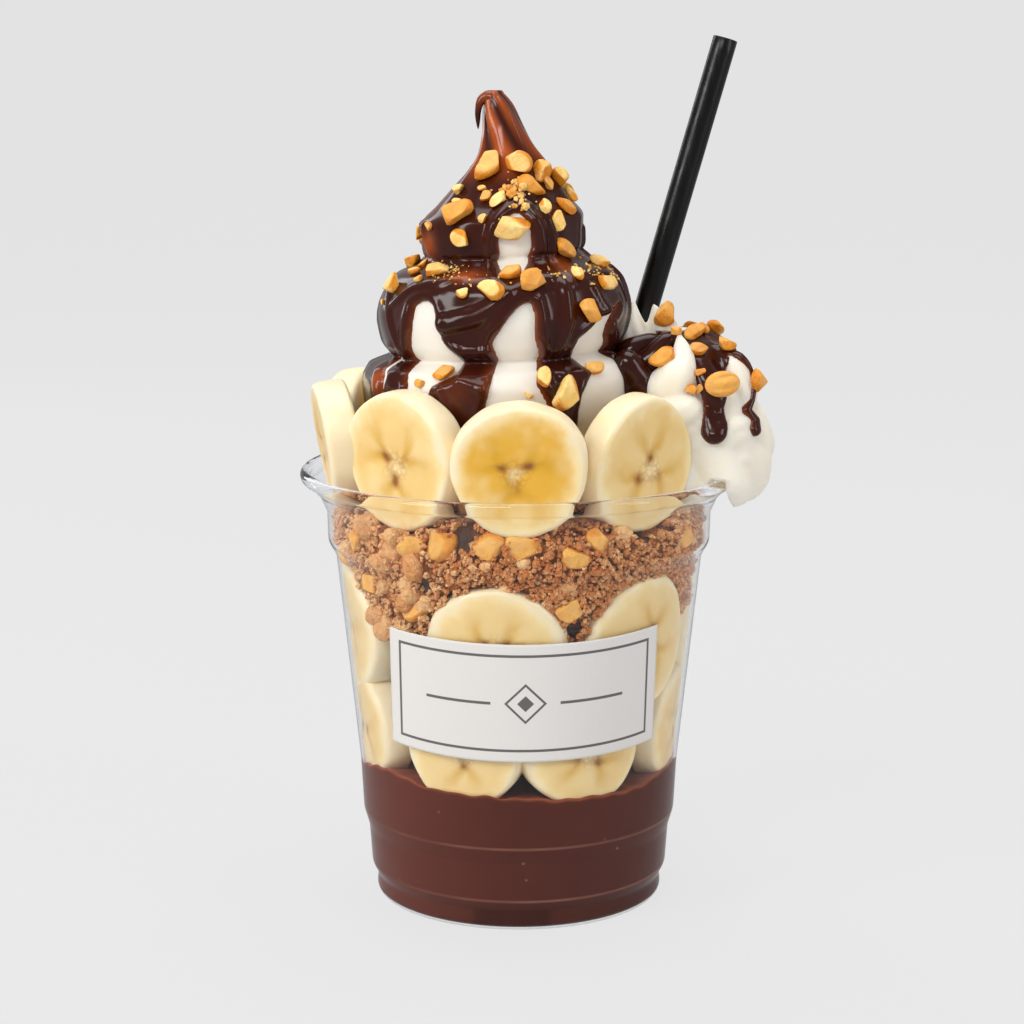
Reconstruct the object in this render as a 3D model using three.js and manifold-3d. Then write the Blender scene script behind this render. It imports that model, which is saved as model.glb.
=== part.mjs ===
// A banana split served in a clear plastic cup: chocolate mousse, two rings of banana slices against the
// wall, a layer of biscuit crumble, a third ring of slices standing in the rim round a soft-serve swirl with
// chocolate sauce and chopped peanuts, a rosette of whipped cream over the rim, and a black straw.
// Millimetres, +Z up, origin in the middle of the cup's base. Azimuths are in degrees, 0 at the front (-Y)
// and growing towards the right (+X).
import * as THREE from "three";
import { mergeVertices } from "three/addons/utils/BufferGeometryUtils.js";
import Module from "manifold-3d";

// ---- Driving dimensions ------------------------------------------------------------------------------
const GAP = 0.3; // between pieces that touch
const SEED = 20;

const CUP_SIDES = 32;
const WALL = 0.6;
// Outside of the wall from the standing ring to the lip, as [radius, height].
const CUP_OUTSIDE = [
  [31.6, 0],
  [32.4, 1.2],
  [32.1, 4.2],
  [33.5, 6.8],
  [34.1, 15.5],
  [35.3, 19.5],
  [35.9, 31],
  [40.9, 78.3],
  [42.6, 81.3],
  [42.8, 88],
  [44.4, 91.6],
  [46.8, 94.1],
];
const LIP_RADIUS = 48.8;
const LIP_TOP = 97.5;
const BASE_PAD_RADIUS = 12;
const BASE_RING_RADIUS = 26.5;
const BASE_GROOVE_DEPTH = 1.2;
const BASE_FLOOR = 1.9;
const FLOOR_RADIUS = 31.2;

const LABEL = { width: 64, height: 26.5, thickness: 0.25, azimuth: 2, middle: 52.6 };
const MOUSSE_LEVEL = 29.8;
const MOUSSE_RISE = 0.4;
const STRAW = { radius: 2.75, wall: 0.3, sides: 14, foot: [-7.3, 6, 6], end: [45.9, 15, 191] };

const SLICE_SIDES = 14;
const SLICE_BEVEL = 1.1;
const SLICE_LOBES = 0.025; // how far the three seed chambers push the outline out, as a share of the radius
const WALL_SLICE_THICKNESS = 6.5;
const WALL_SLICE_LEAN = 6; // the taper of the cup's wall
const RIM_SLICE_THICKNESS = 7.5;
const LOWER_RING = { azimuths: [-75, -21, 24.5, 77, 130, 182, 234], radius: 13.2, height: 41 };
const MIDDLE_RING = { azimuths: [-79, -7, 44, 100, 157, 220], radius: 14.5, height: 62.6 };
// Slices that stand in the rim: azimuth, reach of the middle, height, radius, lean outwards.
const RIM_SLICES = [
  [-80, 40.2, 104, 13.4, 9],
  [-42.5, 35.2, 103, 14.7, 4],
  [0, 38.8, 103.2, 14.2, 8],
  [44, 35.3, 102, 14.6, 5],
  [143, 34.6, 103, 14, 5],
  [180, 37.6, 103.4, 14.3, 8],
  [217, 34.6, 103, 13.8, 5],
  [250, 38, 103.6, 13.6, 9],
];

const CRUMBLE_SIDES = 32;
const CRUMBLE_TOP = 91.4;
const CRUMBLE_GRAIN = 1.1; // how uneven its surface is
// Half outline of the crumble up to the shoulder of the cup, as [radius, height].
const CRUMBLE_OUTLINE = [
  [23, 30.5],
  [24, 44],
  [25.5, 56],
  [33, 62],
  [38.4, 67],
  [39.7, 77.5],
  [41.2, 82],
  [41.3, 87.4],
  [38, 90.6],
];

const ICE = { axis: [-3.6, 0], sides: 40, foot: 91.8, top: 180.3, leanFrom: 160 };
// Half outline of the swirl with its sauce, as [radius, height]: base tier, middle tier, top cone and tip.
const ICE_OUTLINE = [
  [28, 93],
  [29, 105],
  [30.4, 112],
  [31, 117.5],
  [29, 121.2],
  [25.4, 124],
  [26.8, 127.3],
  [27.6, 132.5],
  [26.4, 137.5],
  [24.2, 141],
  [19, 143.8],
  [18.4, 146.5],
  [18.1, 152],
  [15, 155.8],
  [12.2, 159.2],
  [9.5, 162.7],
  [6.8, 166.5],
  [4.6, 171.6],
  [3.3, 176.3],
  [2, 179.3],
];
const ICE_TILT = 0.9; // the creases rise this much to the right and fall as much to the left
const ICE_TIP_LEAN = 3.4;
const SAUCE_DEPTH = 1.3;
const SAUCE_EDGE = 1.8; // how far in from its edge the sauce is full thickness
// Arched gaps the sauce leaves bare: azimuth at the top and at the foot, height of the top, of the widest
// place and of the foot, half width in degrees at the widest place and at the foot.
const BARE_ARCHES = [
  [-39, -39, 136.2, 125, 113, 11, 2],
  [12, 7, 136.7, 126, 105, 10.5, 15],
  [56, 49, 134.3, 123, 105, 13, 15],
  [8, 7, 154.5, 147.5, 140, 11.8, 2],
  [120, 120, 133.5, 120, 105, 10, 11],
  [164, 166, 136, 124, 105, 11.5, 10],
  [210, 210, 134.5, 123, 105, 10.5, 10],
  [250, 263, 135, 118, 105, 10, 21],
];

const CREAM = { axis: [38.6, -1], topAxis: [35.2, 1.5], leanFrom: 112, sides: 34, foot: 89.6, top: 129.8 };
// Half outline of the whipped cream rosette, as [radius, height].
const CREAM_OUTLINE = [
  [13.2, 90.4],
  [16.2, 92.6],
  [18, 96],
  [18.3, 101],
  [17, 107],
  [14.6, 111.6],
  [14.9, 115.2],
  [13.4, 118.8],
  [11.6, 122],
  [10.4, 124.6],
  [7.2, 128],
];
const CREAM_FLUTES = 9;
const CREAM_FLUTE_DEPTH = 1.7;
const CREAM_TWIST = 2.2; // degrees the flutes turn for each millimetre of height
// The lobe that droops over the lip: azimuth, height, reach, and the half widths it fades over.
const CREAM_LOBE = { azimuth: 22, height: 94.5, reach: 3, spread: 20, rise: 6 };
// Runs of sauce down the cream: [azimuth, half width in degrees, lowest height], and how far they stand out.
const CREAM_RUNS = [
  [12, 15, 104.5],
  [62, 9, 105.5],
];
const CREAM_RUN_DEPTH = 0.6;
// Inner edge of the rolled lip, and of the wall where the crumble meets it, under the cream.
const CREAM_BED = { lipInside: 45.5, wallInside: 41.3, low: 84 };

// Width and depth of a chopped peanut, as shares of its length.
const NUT_WIDTH = [0.68, 0.88];
const NUT_DEPTH = [0.56, 0.7];
// Peanut pieces on the swirl: azimuth, height, length.
const SWIRL_NUTS = [
  [-20, 163.3, 6], [22, 164.2, 5], [57, 162.1, 5.4], [90, 161.4, 5], [34, 159.4, 5.4], [-46, 154.6, 6],
  [6, 151.4, 7.6], [59, 155.2, 4.2], [42, 151.8, 4.2], [48, 145.4, 6], [-39, 142, 4.8], [-80, 148.4, 4],
  [62, 139.2, 5.6], [4, 141.4, 4.4], [15, 140.2, 5.6], [-4, 138.2, 5.8], [-64, 138.5, 4.8], [43, 133.6, 5.6],
  [43, 121.8, 4.8], [17, 120.4, 4.2], [25, 117.6, 6.4],
];
const BACK_NUTS = { count: 8, from: 105, to: 250, low: 120, high: 158, length: 5 };
// Peanut pieces on the cream: azimuth, height, length.
const CREAM_NUTS = [
  [-118, 129, 6.4], [-38, 121.6, 5.8], [14, 117.8, 8.4], [66, 117.6, 5.4], [40, 127.4, 6], [-4, 127.6, 5],
];
// Peanut pieces in the crumble against the wall: azimuth, height, length.
const CRUMBLE_NUTS = [
  [-25.6, 85.6, 7.6], [-9.2, 86, 6.4], [1.6, 85.4, 7.6], [17.2, 84.2, 6.6], [-37.4, 71.6, 6], [15.9, 72.8, 5],
  [-35.3, 84, 6], [62, 85, 6], [126, 84.5, 7], [190, 85.5, 6.4], [252, 84.6, 6.8],
];
const CRUMB_LUMPS = { count: 7, low: 69, high: 86, length: 5.4 };

// ---- Solids ------------------------------------------------------------------------------------------
const wasm = await Module();
wasm.setup();

const { clamp, degToRad: radians, lerp, radToDeg, smoothstep } = THREE.MathUtils;

// The closed mesh of a geometry as a manifold solid.
function solidOf(geometry) {
  const bare = geometry.clone();
  bare.deleteAttribute("normal");
  bare.deleteAttribute("uv");
  const merged = mergeVertices(bare, 1e-3);
  return new wasm.Manifold(
    new wasm.Mesh({
      numProp: 3,
      vertProperties: merged.attributes.position.array,
      triVerts: new Uint32Array(merged.index.array),
    }),
  );
}

// The surface of a manifold solid as a geometry.
function geometryOf(solid) {
  const mesh = solid.getMesh();
  const geometry = new THREE.BufferGeometry();
  geometry.setAttribute("position", new THREE.BufferAttribute(mesh.vertProperties, 3));
  geometry.setIndex(new THREE.BufferAttribute(mesh.triVerts, 1));
  geometry.computeVertexNormals();
  return geometry;
}

// The largest of the bodies that a cut leaves.
function largestBody(solid) {
  return solid.decompose().reduce((best, body) => (body.volume() > best.volume() ? body : best));
}

function joined(base, pieces) {
  return pieces.reduce((solid, piece) => solid.add(piece), base);
}

function cutBy(base, cutters) {
  return largestBody(cutters.reduce((solid, cutter) => solid.subtract(cutter), base));
}

// A closed skin through rings of equal length, with a single point below and above them.
function closedSkin(foot, rings, top) {
  const sides = rings[0].length;
  const points = [foot, ...rings.flat(), top];
  const last = points.length - 1;
  const at = (row, column) => 1 + row * sides + (column % sides);
  const index = [];
  for (let column = 0; column < sides; column++) {
    index.push(0, at(0, column + 1), at(0, column));
    index.push(last, at(rings.length - 1, column), at(rings.length - 1, column + 1));
    for (let row = 0; row + 1 < rings.length; row++) {
      index.push(at(row, column), at(row, column + 1), at(row + 1, column + 1));
      index.push(at(row, column), at(row + 1, column + 1), at(row + 1, column));
    }
  }
  const geometry = new THREE.BufferGeometry().setFromPoints(points);
  geometry.setIndex(index);
  return geometry;
}

const AXIS = [0, 0];

// A point at an azimuth and radius round an upright axis.
function around(axis, azimuth, radius, height) {
  const turn = radians(azimuth);
  return new THREE.Vector3(axis[0] + radius * Math.sin(turn), axis[1] - radius * Math.cos(turn), height);
}

// Degrees from one azimuth to another, the short way round.
function turnedFrom(azimuth, middle) {
  return THREE.MathUtils.euclideanModulo(azimuth - middle + 180, 360) - 180;
}

// Numbers from 0 to 1 that are the same on every run.
function seeded(seed) {
  let state = seed;
  return () => {
    state = (state * 16807) % 2147483647;
    return state / 2147483647;
  };
}

// Radius at a height on an outline of [radius, height] rows.
function radiusOn(outline, height) {
  const above = outline.findIndex((row) => row[1] >= height);
  if (above === 0) return outline[0][0];
  if (above < 0) return outline[outline.length - 1][0];
  const [r0, z0] = outline[above - 1];
  const [r1, z1] = outline[above];
  return lerp(r0, r1, (height - z0) / (z1 - z0));
}

// The inside of the cup's wall from one height to another, drawn in by a gap, as [radius, height].
function wallInside(low, high, gap) {
  const rows = CUP_OUTSIDE.filter(([, height]) => height >= low && height <= high);
  return rows.map(([radius, height]) => [radius - WALL - gap, height + WALL / 2]);
}

// A level ring of points round an upright axis, its radius and height given for each azimuth.
function ringOf(sides, pointAt) {
  return Array.from({ length: sides }, (_, side) => pointAt((360 * side) / sides));
}

// A chopped peanut: a squashed twenty-sided lump lying with its length across the surface.
function nutAt(place, outward, length, random) {
  const nut = new THREE.IcosahedronGeometry(length / 2, 0);
  nut.scale(1, lerp(...NUT_WIDTH, random()), lerp(...NUT_DEPTH, random()));
  nut.rotateZ(Math.PI * random());
  const face = new THREE.Quaternion().setFromUnitVectors(new THREE.Vector3(0, 0, 1), outward);
  nut.applyQuaternion(face);
  nut.translate(place.x, place.y, place.z);
  return solidOf(nut);
}

function material(color, roughness) {
  return new THREE.MeshStandardMaterial({ color, roughness, metalness: 0 });
}

function meshOf(name, geometry, finish) {
  const mesh = new THREE.Mesh(geometry, finish);
  mesh.name = name;
  return mesh;
}

// ---- The cup and its label ---------------------------------------------------------------------------
// Thermoformed clear cup: grooved base round a flat pad, two stacking steps, a shoulder and a rolled lip.
function cupGeometry() {
  const inside = wallInside(1, LIP_TOP, 0);
  const lip = [
    [LIP_RADIUS - 0.5, LIP_TOP - 2.8],
    [LIP_RADIUS, LIP_TOP - 1.1],
    [LIP_RADIUS - 1.1, LIP_TOP],
    [LIP_RADIUS - 2.3, LIP_TOP - 0.9],
  ];
  const base = [
    [0, 0],
    [BASE_PAD_RADIUS, 0],
    [BASE_PAD_RADIUS + 1.5, BASE_GROOVE_DEPTH],
    [BASE_RING_RADIUS - 1.5, BASE_GROOVE_DEPTH],
    [BASE_RING_RADIUS, 0],
  ];
  const floor = [
    [FLOOR_RADIUS, BASE_FLOOR],
    [0, BASE_FLOOR],
  ];
  const profile = [...base, ...CUP_OUTSIDE, ...lip, ...inside.reverse(), ...floor];
  const lathe = new THREE.LatheGeometry(profile.map(([r, z]) => new THREE.Vector2(r, z)), CUP_SIDES);
  return lathe.rotateX(Math.PI / 2);
}

// The label is a flat rectangle wrapped on the cone of the wall, so its long edges rise towards their ends.
function labelGeometry() {
  const wallAt = (height) => radiusOn(CUP_OUTSIDE, height);
  const slope = Math.atan2(wallAt(LABEL.middle) - wallAt(LABEL.middle - 10), 10);
  const slant = wallAt(LABEL.middle) / Math.sin(slope);
  const columns = 16;
  const wrapped = (across, up, lift) => {
    const reach = Math.hypot(across, slant + up);
    const turned = radToDeg(Math.atan2(across, slant + up) / Math.sin(slope));
    const height = LABEL.middle + (reach - slant) * Math.cos(slope);
    return around(AXIS, LABEL.azimuth + turned, wallAt(height) + lift / Math.cos(slope), height);
  };
  const points = [];
  const index = [];
  for (let column = 0; column <= columns; column++) {
    const across = (column / columns - 0.5) * LABEL.width;
    for (const lift of [GAP, GAP + LABEL.thickness]) {
      points.push(wrapped(across, -LABEL.height / 2, lift), wrapped(across, LABEL.height / 2, lift));
    }
  }
  const quad = (a, b, c, d) => index.push(a, b, c, a, c, d);
  for (let column = 0; column < columns; column++) {
    const [a, b] = [4 * column, 4 * (column + 1)];
    quad(a + 2, b + 2, b + 3, a + 3);
    quad(a, a + 1, b + 1, b);
    quad(a, b, b + 2, a + 2);
    quad(a + 1, a + 3, b + 3, b + 1);
  }
  const end = 4 * columns;
  quad(0, 2, 3, 1);
  quad(end, end + 1, end + 3, end + 2);
  const geometry = new THREE.BufferGeometry().setFromPoints(points);
  geometry.setIndex(index);
  return geometry;
}

// ---- Banana slices -----------------------------------------------------------------------------------
// A slice is a thick disc with softened edges and a faintly three-lobed outline, its axis along local Z.
function sliceGeometry(radius, thickness, turn, grow = 0) {
  const outline = new THREE.Shape();
  for (let side = 0; side < SLICE_SIDES; side++) {
    const angle = (2 * Math.PI * side) / SLICE_SIDES;
    const reach = (radius + grow) * (1 + SLICE_LOBES * Math.cos(3 * (angle - turn)));
    const [x, y] = [reach * Math.cos(angle), reach * Math.sin(angle)];
    if (side) outline.lineTo(x, y);
    else outline.moveTo(x, y);
  }
  const depth = thickness + 2 * grow - 2 * SLICE_BEVEL;
  const slice = new THREE.ExtrudeGeometry(outline, {
    depth,
    bevelSize: SLICE_BEVEL,
    bevelThickness: SLICE_BEVEL,
    bevelOffset: -SLICE_BEVEL,
    bevelSegments: 1,
  });
  return slice.translate(0, 0, -depth / 2);
}

// Stands a slice at an azimuth with its face outwards and its top leaning out.
function standSlice(mesh, azimuth, reach, height, lean) {
  mesh.rotation.set(Math.PI / 2 + radians(lean), 0, radians(azimuth), "ZYX");
  mesh.position.copy(around(AXIS, azimuth, reach, height));
  mesh.updateMatrixWorld(true);
}

// How far out the middle of a slice stands when its edges touch the wall.
function wallReach(radius, height) {
  const wall = (radiusOn(CUP_OUTSIDE, height) - WALL) * Math.cos(Math.PI / CUP_SIDES) - GAP;
  return Math.sqrt(wall ** 2 - (radius - SLICE_BEVEL / 2) ** 2) - WALL_SLICE_THICKNESS / 2 - GAP;
}

function sliceRows() {
  const random = seeded(SEED);
  const rows = [];
  const ring = (name, { azimuths, radius, height }) =>
    azimuths.forEach((azimuth, i) => {
      const size = radius - 0.6 * random();
      const place = { azimuth, reach: wallReach(size, height), height, lean: WALL_SLICE_LEAN };
      rows.push({ name: `${name}_${i + 1}`, size, thickness: WALL_SLICE_THICKNESS, ...place });
    });
  ring("lower_banana_slice", LOWER_RING);
  ring("middle_banana_slice", MIDDLE_RING);
  RIM_SLICES.forEach(([azimuth, reach, height, size, lean], i) => {
    const name = `rim_banana_slice_${i + 1}`;
    rows.push({ name, size, thickness: RIM_SLICE_THICKNESS, azimuth, reach, height, lean });
  });
  return rows.map((row) => ({ ...row, turn: 2 * Math.PI * random() }));
}

// Slices in their places, each pressed flat against the ones before it, and their shapes grown by the gap.
function bananaSlices(finish) {
  const grown = [];
  const meshes = sliceRows().map((row) => {
    const mesh = meshOf(row.name, sliceGeometry(row.size, row.thickness, row.turn), finish);
    standSlice(mesh, row.azimuth, row.reach, row.height, row.lean);
    const outer = sliceGeometry(row.size, row.thickness, row.turn, GAP).applyMatrix4(mesh.matrixWorld);
    const whole = solidOf(mesh.geometry.clone().applyMatrix4(mesh.matrixWorld));
    const pressing = grown.filter((other) => whole.intersect(other).volume() > 0);
    if (pressing.length) {
      const pressed = geometryOf(cutBy(whole, pressing));
      mesh.geometry = pressed.applyMatrix4(mesh.matrixWorld.clone().invert());
    }
    grown.push(solidOf(outer));
    return mesh;
  });
  return { meshes, grown };
}

// ---- The straw ---------------------------------------------------------------------------------------
function strawGeometry(outer, inner, foot, end) {
  const axis = new THREE.Vector3().subVectors(end, foot);
  const length = axis.length();
  const profile = [
    [inner, 0],
    [outer, 0],
    [outer, length],
    [inner, length],
  ];
  if (inner) profile.push(profile[0]);
  const lathe = new THREE.LatheGeometry(profile.map(([r, y]) => new THREE.Vector2(r, y)), STRAW.sides);
  lathe.applyQuaternion(
    new THREE.Quaternion().setFromUnitVectors(new THREE.Vector3(0, 1, 0), axis.normalize()),
  );
  return lathe.translate(foot.x, foot.y, foot.z);
}

// ---- Mousse and crumble ------------------------------------------------------------------------------
// Poured mousse that fills the cup up to its level, a little higher on the right.
function mousseSolid() {
  const wall = radiusOn(CUP_OUTSIDE, MOUSSE_LEVEL) - WALL - GAP;
  const profile = [
    [FLOOR_RADIUS - GAP, BASE_FLOOR + GAP],
    ...wallInside(BASE_FLOOR, MOUSSE_LEVEL, GAP),
    [wall - 0.1, MOUSSE_LEVEL - 0.6],
    [wall - 2.4, MOUSSE_LEVEL],
  ];
  const rings = profile.map(([radius, height]) => {
    const rise = height > MOUSSE_LEVEL - 1 ? MOUSSE_RISE : 0;
    return ringOf(CUP_SIDES, (azimuth) =>
      around(AXIS, azimuth, radius, height + rise * Math.sin(radians(azimuth))),
    );
  });
  const middle = (height) => new THREE.Vector3(0, 0, height);
  return solidOf(closedSkin(middle(BASE_FLOOR + GAP), rings, middle(MOUSSE_LEVEL + 0.2)));
}

// Biscuit crumble heaped over the middle slices, with peanut pieces and lumps pressed against the wall.
function crumbleSolid() {
  const random = seeded(SEED + 1);
  const rings = CRUMBLE_OUTLINE.map(([radius, height]) =>
    ringOf(CRUMBLE_SIDES, (azimuth) => {
      const inset = CRUMBLE_GRAIN * random();
      const rise = CRUMBLE_GRAIN * (random() / 2 - 0.25);
      return around(AXIS, azimuth, radius - inset, height + rise);
    }),
  );
  const middle = (height) => new THREE.Vector3(0, 0, height);
  const core = closedSkin(middle(CRUMBLE_OUTLINE[0][1]), rings, middle(CRUMBLE_TOP));
  const pieces = [...CRUMBLE_NUTS];
  for (let lump = 0; lump < CRUMB_LUMPS.count; lump++) {
    const height = lerp(CRUMB_LUMPS.low, CRUMB_LUMPS.high, random());
    pieces.push([(360 * (lump + 0.6 * random())) / CRUMB_LUMPS.count, height, CRUMB_LUMPS.length]);
  }
  const shown = pieces.map(([azimuth, height, length]) => {
    const inset = 0.36 * length;
    const wall = radiusOn(CUP_OUTSIDE, height - 1.5) - WALL - inset;
    return nutAt(around(AXIS, azimuth, wall, height), around(AXIS, azimuth, 1, 0), length, random);
  });
  return joined(solidOf(core), shown);
}

// What the wall of the cup leaves to the crumble: its inside less the gap, from the mousse to the lip.
function cupInside() {
  const rows = wallInside(MOUSSE_LEVEL, LIP_TOP, GAP);
  const rings = rows.map(([radius, height]) =>
    ringOf(CUP_SIDES, (azimuth) => around(AXIS, azimuth, radius, height)),
  );
  const middle = (height) => new THREE.Vector3(0, 0, height);
  return solidOf(closedSkin(middle(rows[0][1]), rings, middle(rows[rows.length - 1][1])));
}

// ---- The soft-serve swirl ----------------------------------------------------------------------------
function iceAxis(height) {
  const share = Math.max(0, (height - ICE.leanFrom) / (ICE.top - ICE.leanFrom));
  return [ICE.axis[0] - ICE_TIP_LEAN * share ** 3, ICE.axis[1]];
}

// Millimetres from a point of the swirl to the nearest bare arch, below zero inside one. An arch is rounded
// above its widest place and tapers straight from there to its foot.
function distanceFromBare(azimuth, height, radius) {
  const distances = BARE_ARCHES.map(([topAzimuth, footAzimuth, top, widest, foot, half, footHalf]) => {
    const level = clamp(height, foot, top);
    const middle = lerp(footAzimuth, topAzimuth, (level - foot) / (top - foot));
    const above = Math.max(0, (level - widest) / (top - widest));
    const below = Math.max(0, (widest - level) / (widest - foot));
    const reach = lerp(half * Math.sqrt(1 - above ** 2), footHalf, below);
    const sideways = radians(Math.abs(turnedFrom(azimuth, middle)) - reach) * radius;
    return Math.max(sideways, Math.abs(height - level));
  });
  return Math.min(...distances);
}

function sauceDepth(azimuth, height, radius) {
  const share = clamp(distanceFromBare(azimuth, height, radius) / SAUCE_EDGE, 0, 1);
  return SAUCE_DEPTH * Math.sqrt(1 - (1 - share) ** 2);
}

function iceRadius(azimuth, height) {
  const level = height - ICE_TILT * Math.sin(radians(azimuth));
  const outline = radiusOn(ICE_OUTLINE, level);
  return outline - SAUCE_DEPTH + sauceDepth(azimuth, height, outline);
}

// Soft-serve piped in tiers to a leaning tip, under thick sauce that has run down between bare patches.
function iceSolid(grow = 0) {
  const rings = ICE_OUTLINE.map(([, height]) =>
    ringOf(ICE.sides, (azimuth) => {
      const radius = iceRadius(azimuth, height) + grow;
      return around(iceAxis(height), azimuth, radius, height);
    }),
  );
  const [footAxis, topAxis] = [iceAxis(ICE.foot), iceAxis(ICE.top)];
  const foot = new THREE.Vector3(footAxis[0], footAxis[1], ICE.foot - grow);
  return solidOf(closedSkin(foot, rings, new THREE.Vector3(topAxis[0], topAxis[1], ICE.top + grow)));
}

function swirlNuts() {
  const random = seeded(SEED + 2);
  const places = [...SWIRL_NUTS];
  for (let nut = 0; nut < BACK_NUTS.count; nut++) {
    const share = (nut + 0.5) / BACK_NUTS.count;
    const azimuth = lerp(BACK_NUTS.from, BACK_NUTS.to, share);
    const height = lerp(BACK_NUTS.low, BACK_NUTS.high, random());
    places.push([azimuth, height, BACK_NUTS.length]);
  }
  return places.map(([azimuth, height, length]) => {
    const place = around(iceAxis(height), azimuth, iceRadius(azimuth, height) + 0.1 * length, height);
    const outward = around(AXIS, azimuth, 0.9, 0.44);
    return nutAt(place, outward.normalize(), length, random);
  });
}

// ---- Whipped cream -----------------------------------------------------------------------------------
function creamAxis(height) {
  const share = smoothstep(height, CREAM.leanFrom, CREAM.top);
  return CREAM.axis.map((from, i) => lerp(from, CREAM.topAxis[i], share));
}

function creamRadius(azimuth, height) {
  const lobeAway = Math.hypot(
    turnedFrom(azimuth, CREAM_LOBE.azimuth) / CREAM_LOBE.spread,
    (height - CREAM_LOBE.height) / CREAM_LOBE.rise,
  );
  const lobe = CREAM_LOBE.reach * Math.exp(-(lobeAway ** 2));
  const turn = radians(CREAM_FLUTES * (azimuth + CREAM_TWIST * (height - CREAM.foot)));
  const flute = CREAM_FLUTE_DEPTH * (Math.abs(Math.cos(turn / 2)) - 0.6);
  const run = CREAM_RUNS.some(
    ([middle, half, lowest]) => Math.abs(turnedFrom(azimuth, middle)) < half && height > lowest,
  );
  return radiusOn(CREAM_OUTLINE, height) + lobe + (run ? CREAM_RUN_DEPTH : flute);
}

// A rosette from a star nozzle in two tiers, its flutes turning as they rise.
function creamSolid() {
  const rings = CREAM_OUTLINE.map(([, height]) =>
    ringOf(CREAM.sides, (azimuth) => {
      const radius = creamRadius(azimuth, height);
      return around(creamAxis(height), azimuth, radius, height);
    }),
  );
  const foot = new THREE.Vector3(...CREAM.axis, CREAM.foot);
  return solidOf(closedSkin(foot, rings, new THREE.Vector3(...CREAM.topAxis, CREAM.top)));
}

function creamNuts() {
  const random = seeded(SEED + 3);
  return CREAM_NUTS.map(([azimuth, height, length]) => {
    const place = around(creamAxis(height), azimuth, creamRadius(azimuth, height) + 0.05 * length, height);
    return nutAt(place, around(AXIS, azimuth, 0.8, 0.6).normalize(), length, random);
  });
}

// What the cream lies over, grown by the gap: the rolled lip, the wall under it and the crumble inside.
function creamBed() {
  const outer = LIP_RADIUS + GAP + 0.1;
  const lipTop = LIP_TOP + GAP;
  const crumbleTop = CRUMBLE_TOP + 2 * GAP;
  const profile = [
    [0, CREAM_BED.low],
    [outer, CREAM_BED.low],
    [outer, lipTop],
    [CREAM_BED.lipInside, lipTop],
    [CREAM_BED.wallInside, crumbleTop],
    [0, crumbleTop],
  ];
  const lathe = new THREE.LatheGeometry(profile.map(([r, z]) => new THREE.Vector2(r, z)), CUP_SIDES);
  return solidOf(lathe.rotateX(Math.PI / 2));
}

// ---- Assembly ----------------------------------------------------------------------------------------
const bananaFinish = material(0xf0d98a, 0.5);
const bananas = bananaSlices(bananaFinish);
const [strawFoot, strawEnd] = [STRAW.foot, STRAW.end].map((point) => new THREE.Vector3(...point));
const strawRoomFoot = strawFoot.clone().setZ(strawFoot.z - 1);
const strawRoom = solidOf(strawGeometry(STRAW.radius + GAP, 0, strawRoomFoot, strawEnd));
const mousse = cutBy(mousseSolid(), [strawRoom, ...bananas.grown]);
const ice = cutBy(joined(iceSolid(), swirlNuts()), [strawRoom, ...bananas.grown]);
const creamCutters = [iceSolid(GAP + 0.1), ...swirlNuts(), creamBed(), strawRoom, ...bananas.grown];
const cream = cutBy(joined(creamSolid(), creamNuts()), creamCutters);
const crumble = cutBy(crumbleSolid().intersect(cupInside()), [strawRoom, ...bananas.grown]);

const bananaSplit = new THREE.Group();
bananaSplit.add(
  meshOf("cup", cupGeometry(), material(0xf2f5f6, 0.08)),
  meshOf("label", labelGeometry(), material(0xf3f2f0, 0.55)),
  meshOf("chocolate_mousse", geometryOf(mousse), material(0x5b3026, 0.45)),
  meshOf("crumble", geometryOf(crumble), material(0xb87a48, 0.85)),
  meshOf("ice_cream", geometryOf(ice), material(0x5a2c1c, 0.3)),
  meshOf("whipped_cream", geometryOf(cream), material(0xf7f3e6, 0.5)),
  meshOf(
    "straw",
    strawGeometry(STRAW.radius, STRAW.radius - STRAW.wall, strawFoot, strawEnd),
    material(0x101211, 0.35),
  ),
  ...bananas.meshes,
);

export default bananaSplit;
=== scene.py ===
"""A banana split layered in a clear plastic cup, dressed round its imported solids.

Sizes are in millimetres and become metres as a mesh is made. Azimuths are in degrees round the cup,
0 at the front (-Y) and growing towards the right (+X).
"""
import math

import bpy
import numpy as np
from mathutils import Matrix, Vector


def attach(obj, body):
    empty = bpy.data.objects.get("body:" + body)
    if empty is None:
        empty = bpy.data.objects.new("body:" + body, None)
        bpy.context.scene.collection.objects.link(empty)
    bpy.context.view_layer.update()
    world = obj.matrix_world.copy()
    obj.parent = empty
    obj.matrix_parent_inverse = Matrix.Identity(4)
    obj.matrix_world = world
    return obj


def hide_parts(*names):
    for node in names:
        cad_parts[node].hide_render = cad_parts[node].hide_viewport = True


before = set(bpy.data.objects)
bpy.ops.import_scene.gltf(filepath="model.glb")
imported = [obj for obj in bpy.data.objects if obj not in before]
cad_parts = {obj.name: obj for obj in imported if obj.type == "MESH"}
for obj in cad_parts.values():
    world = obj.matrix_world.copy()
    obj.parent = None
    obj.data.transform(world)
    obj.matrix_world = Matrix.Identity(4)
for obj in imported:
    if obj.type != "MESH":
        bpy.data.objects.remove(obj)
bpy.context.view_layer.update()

# ---- The cup -------------------------------------------------------------------------------------
# A clear cup drawn from thin plastic sheet: a flat pad inside a standing ring, two stacking steps, a
# tapering wall, a shoulder for the lid and a lip that is rolled over so that it stays stiff.

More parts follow.
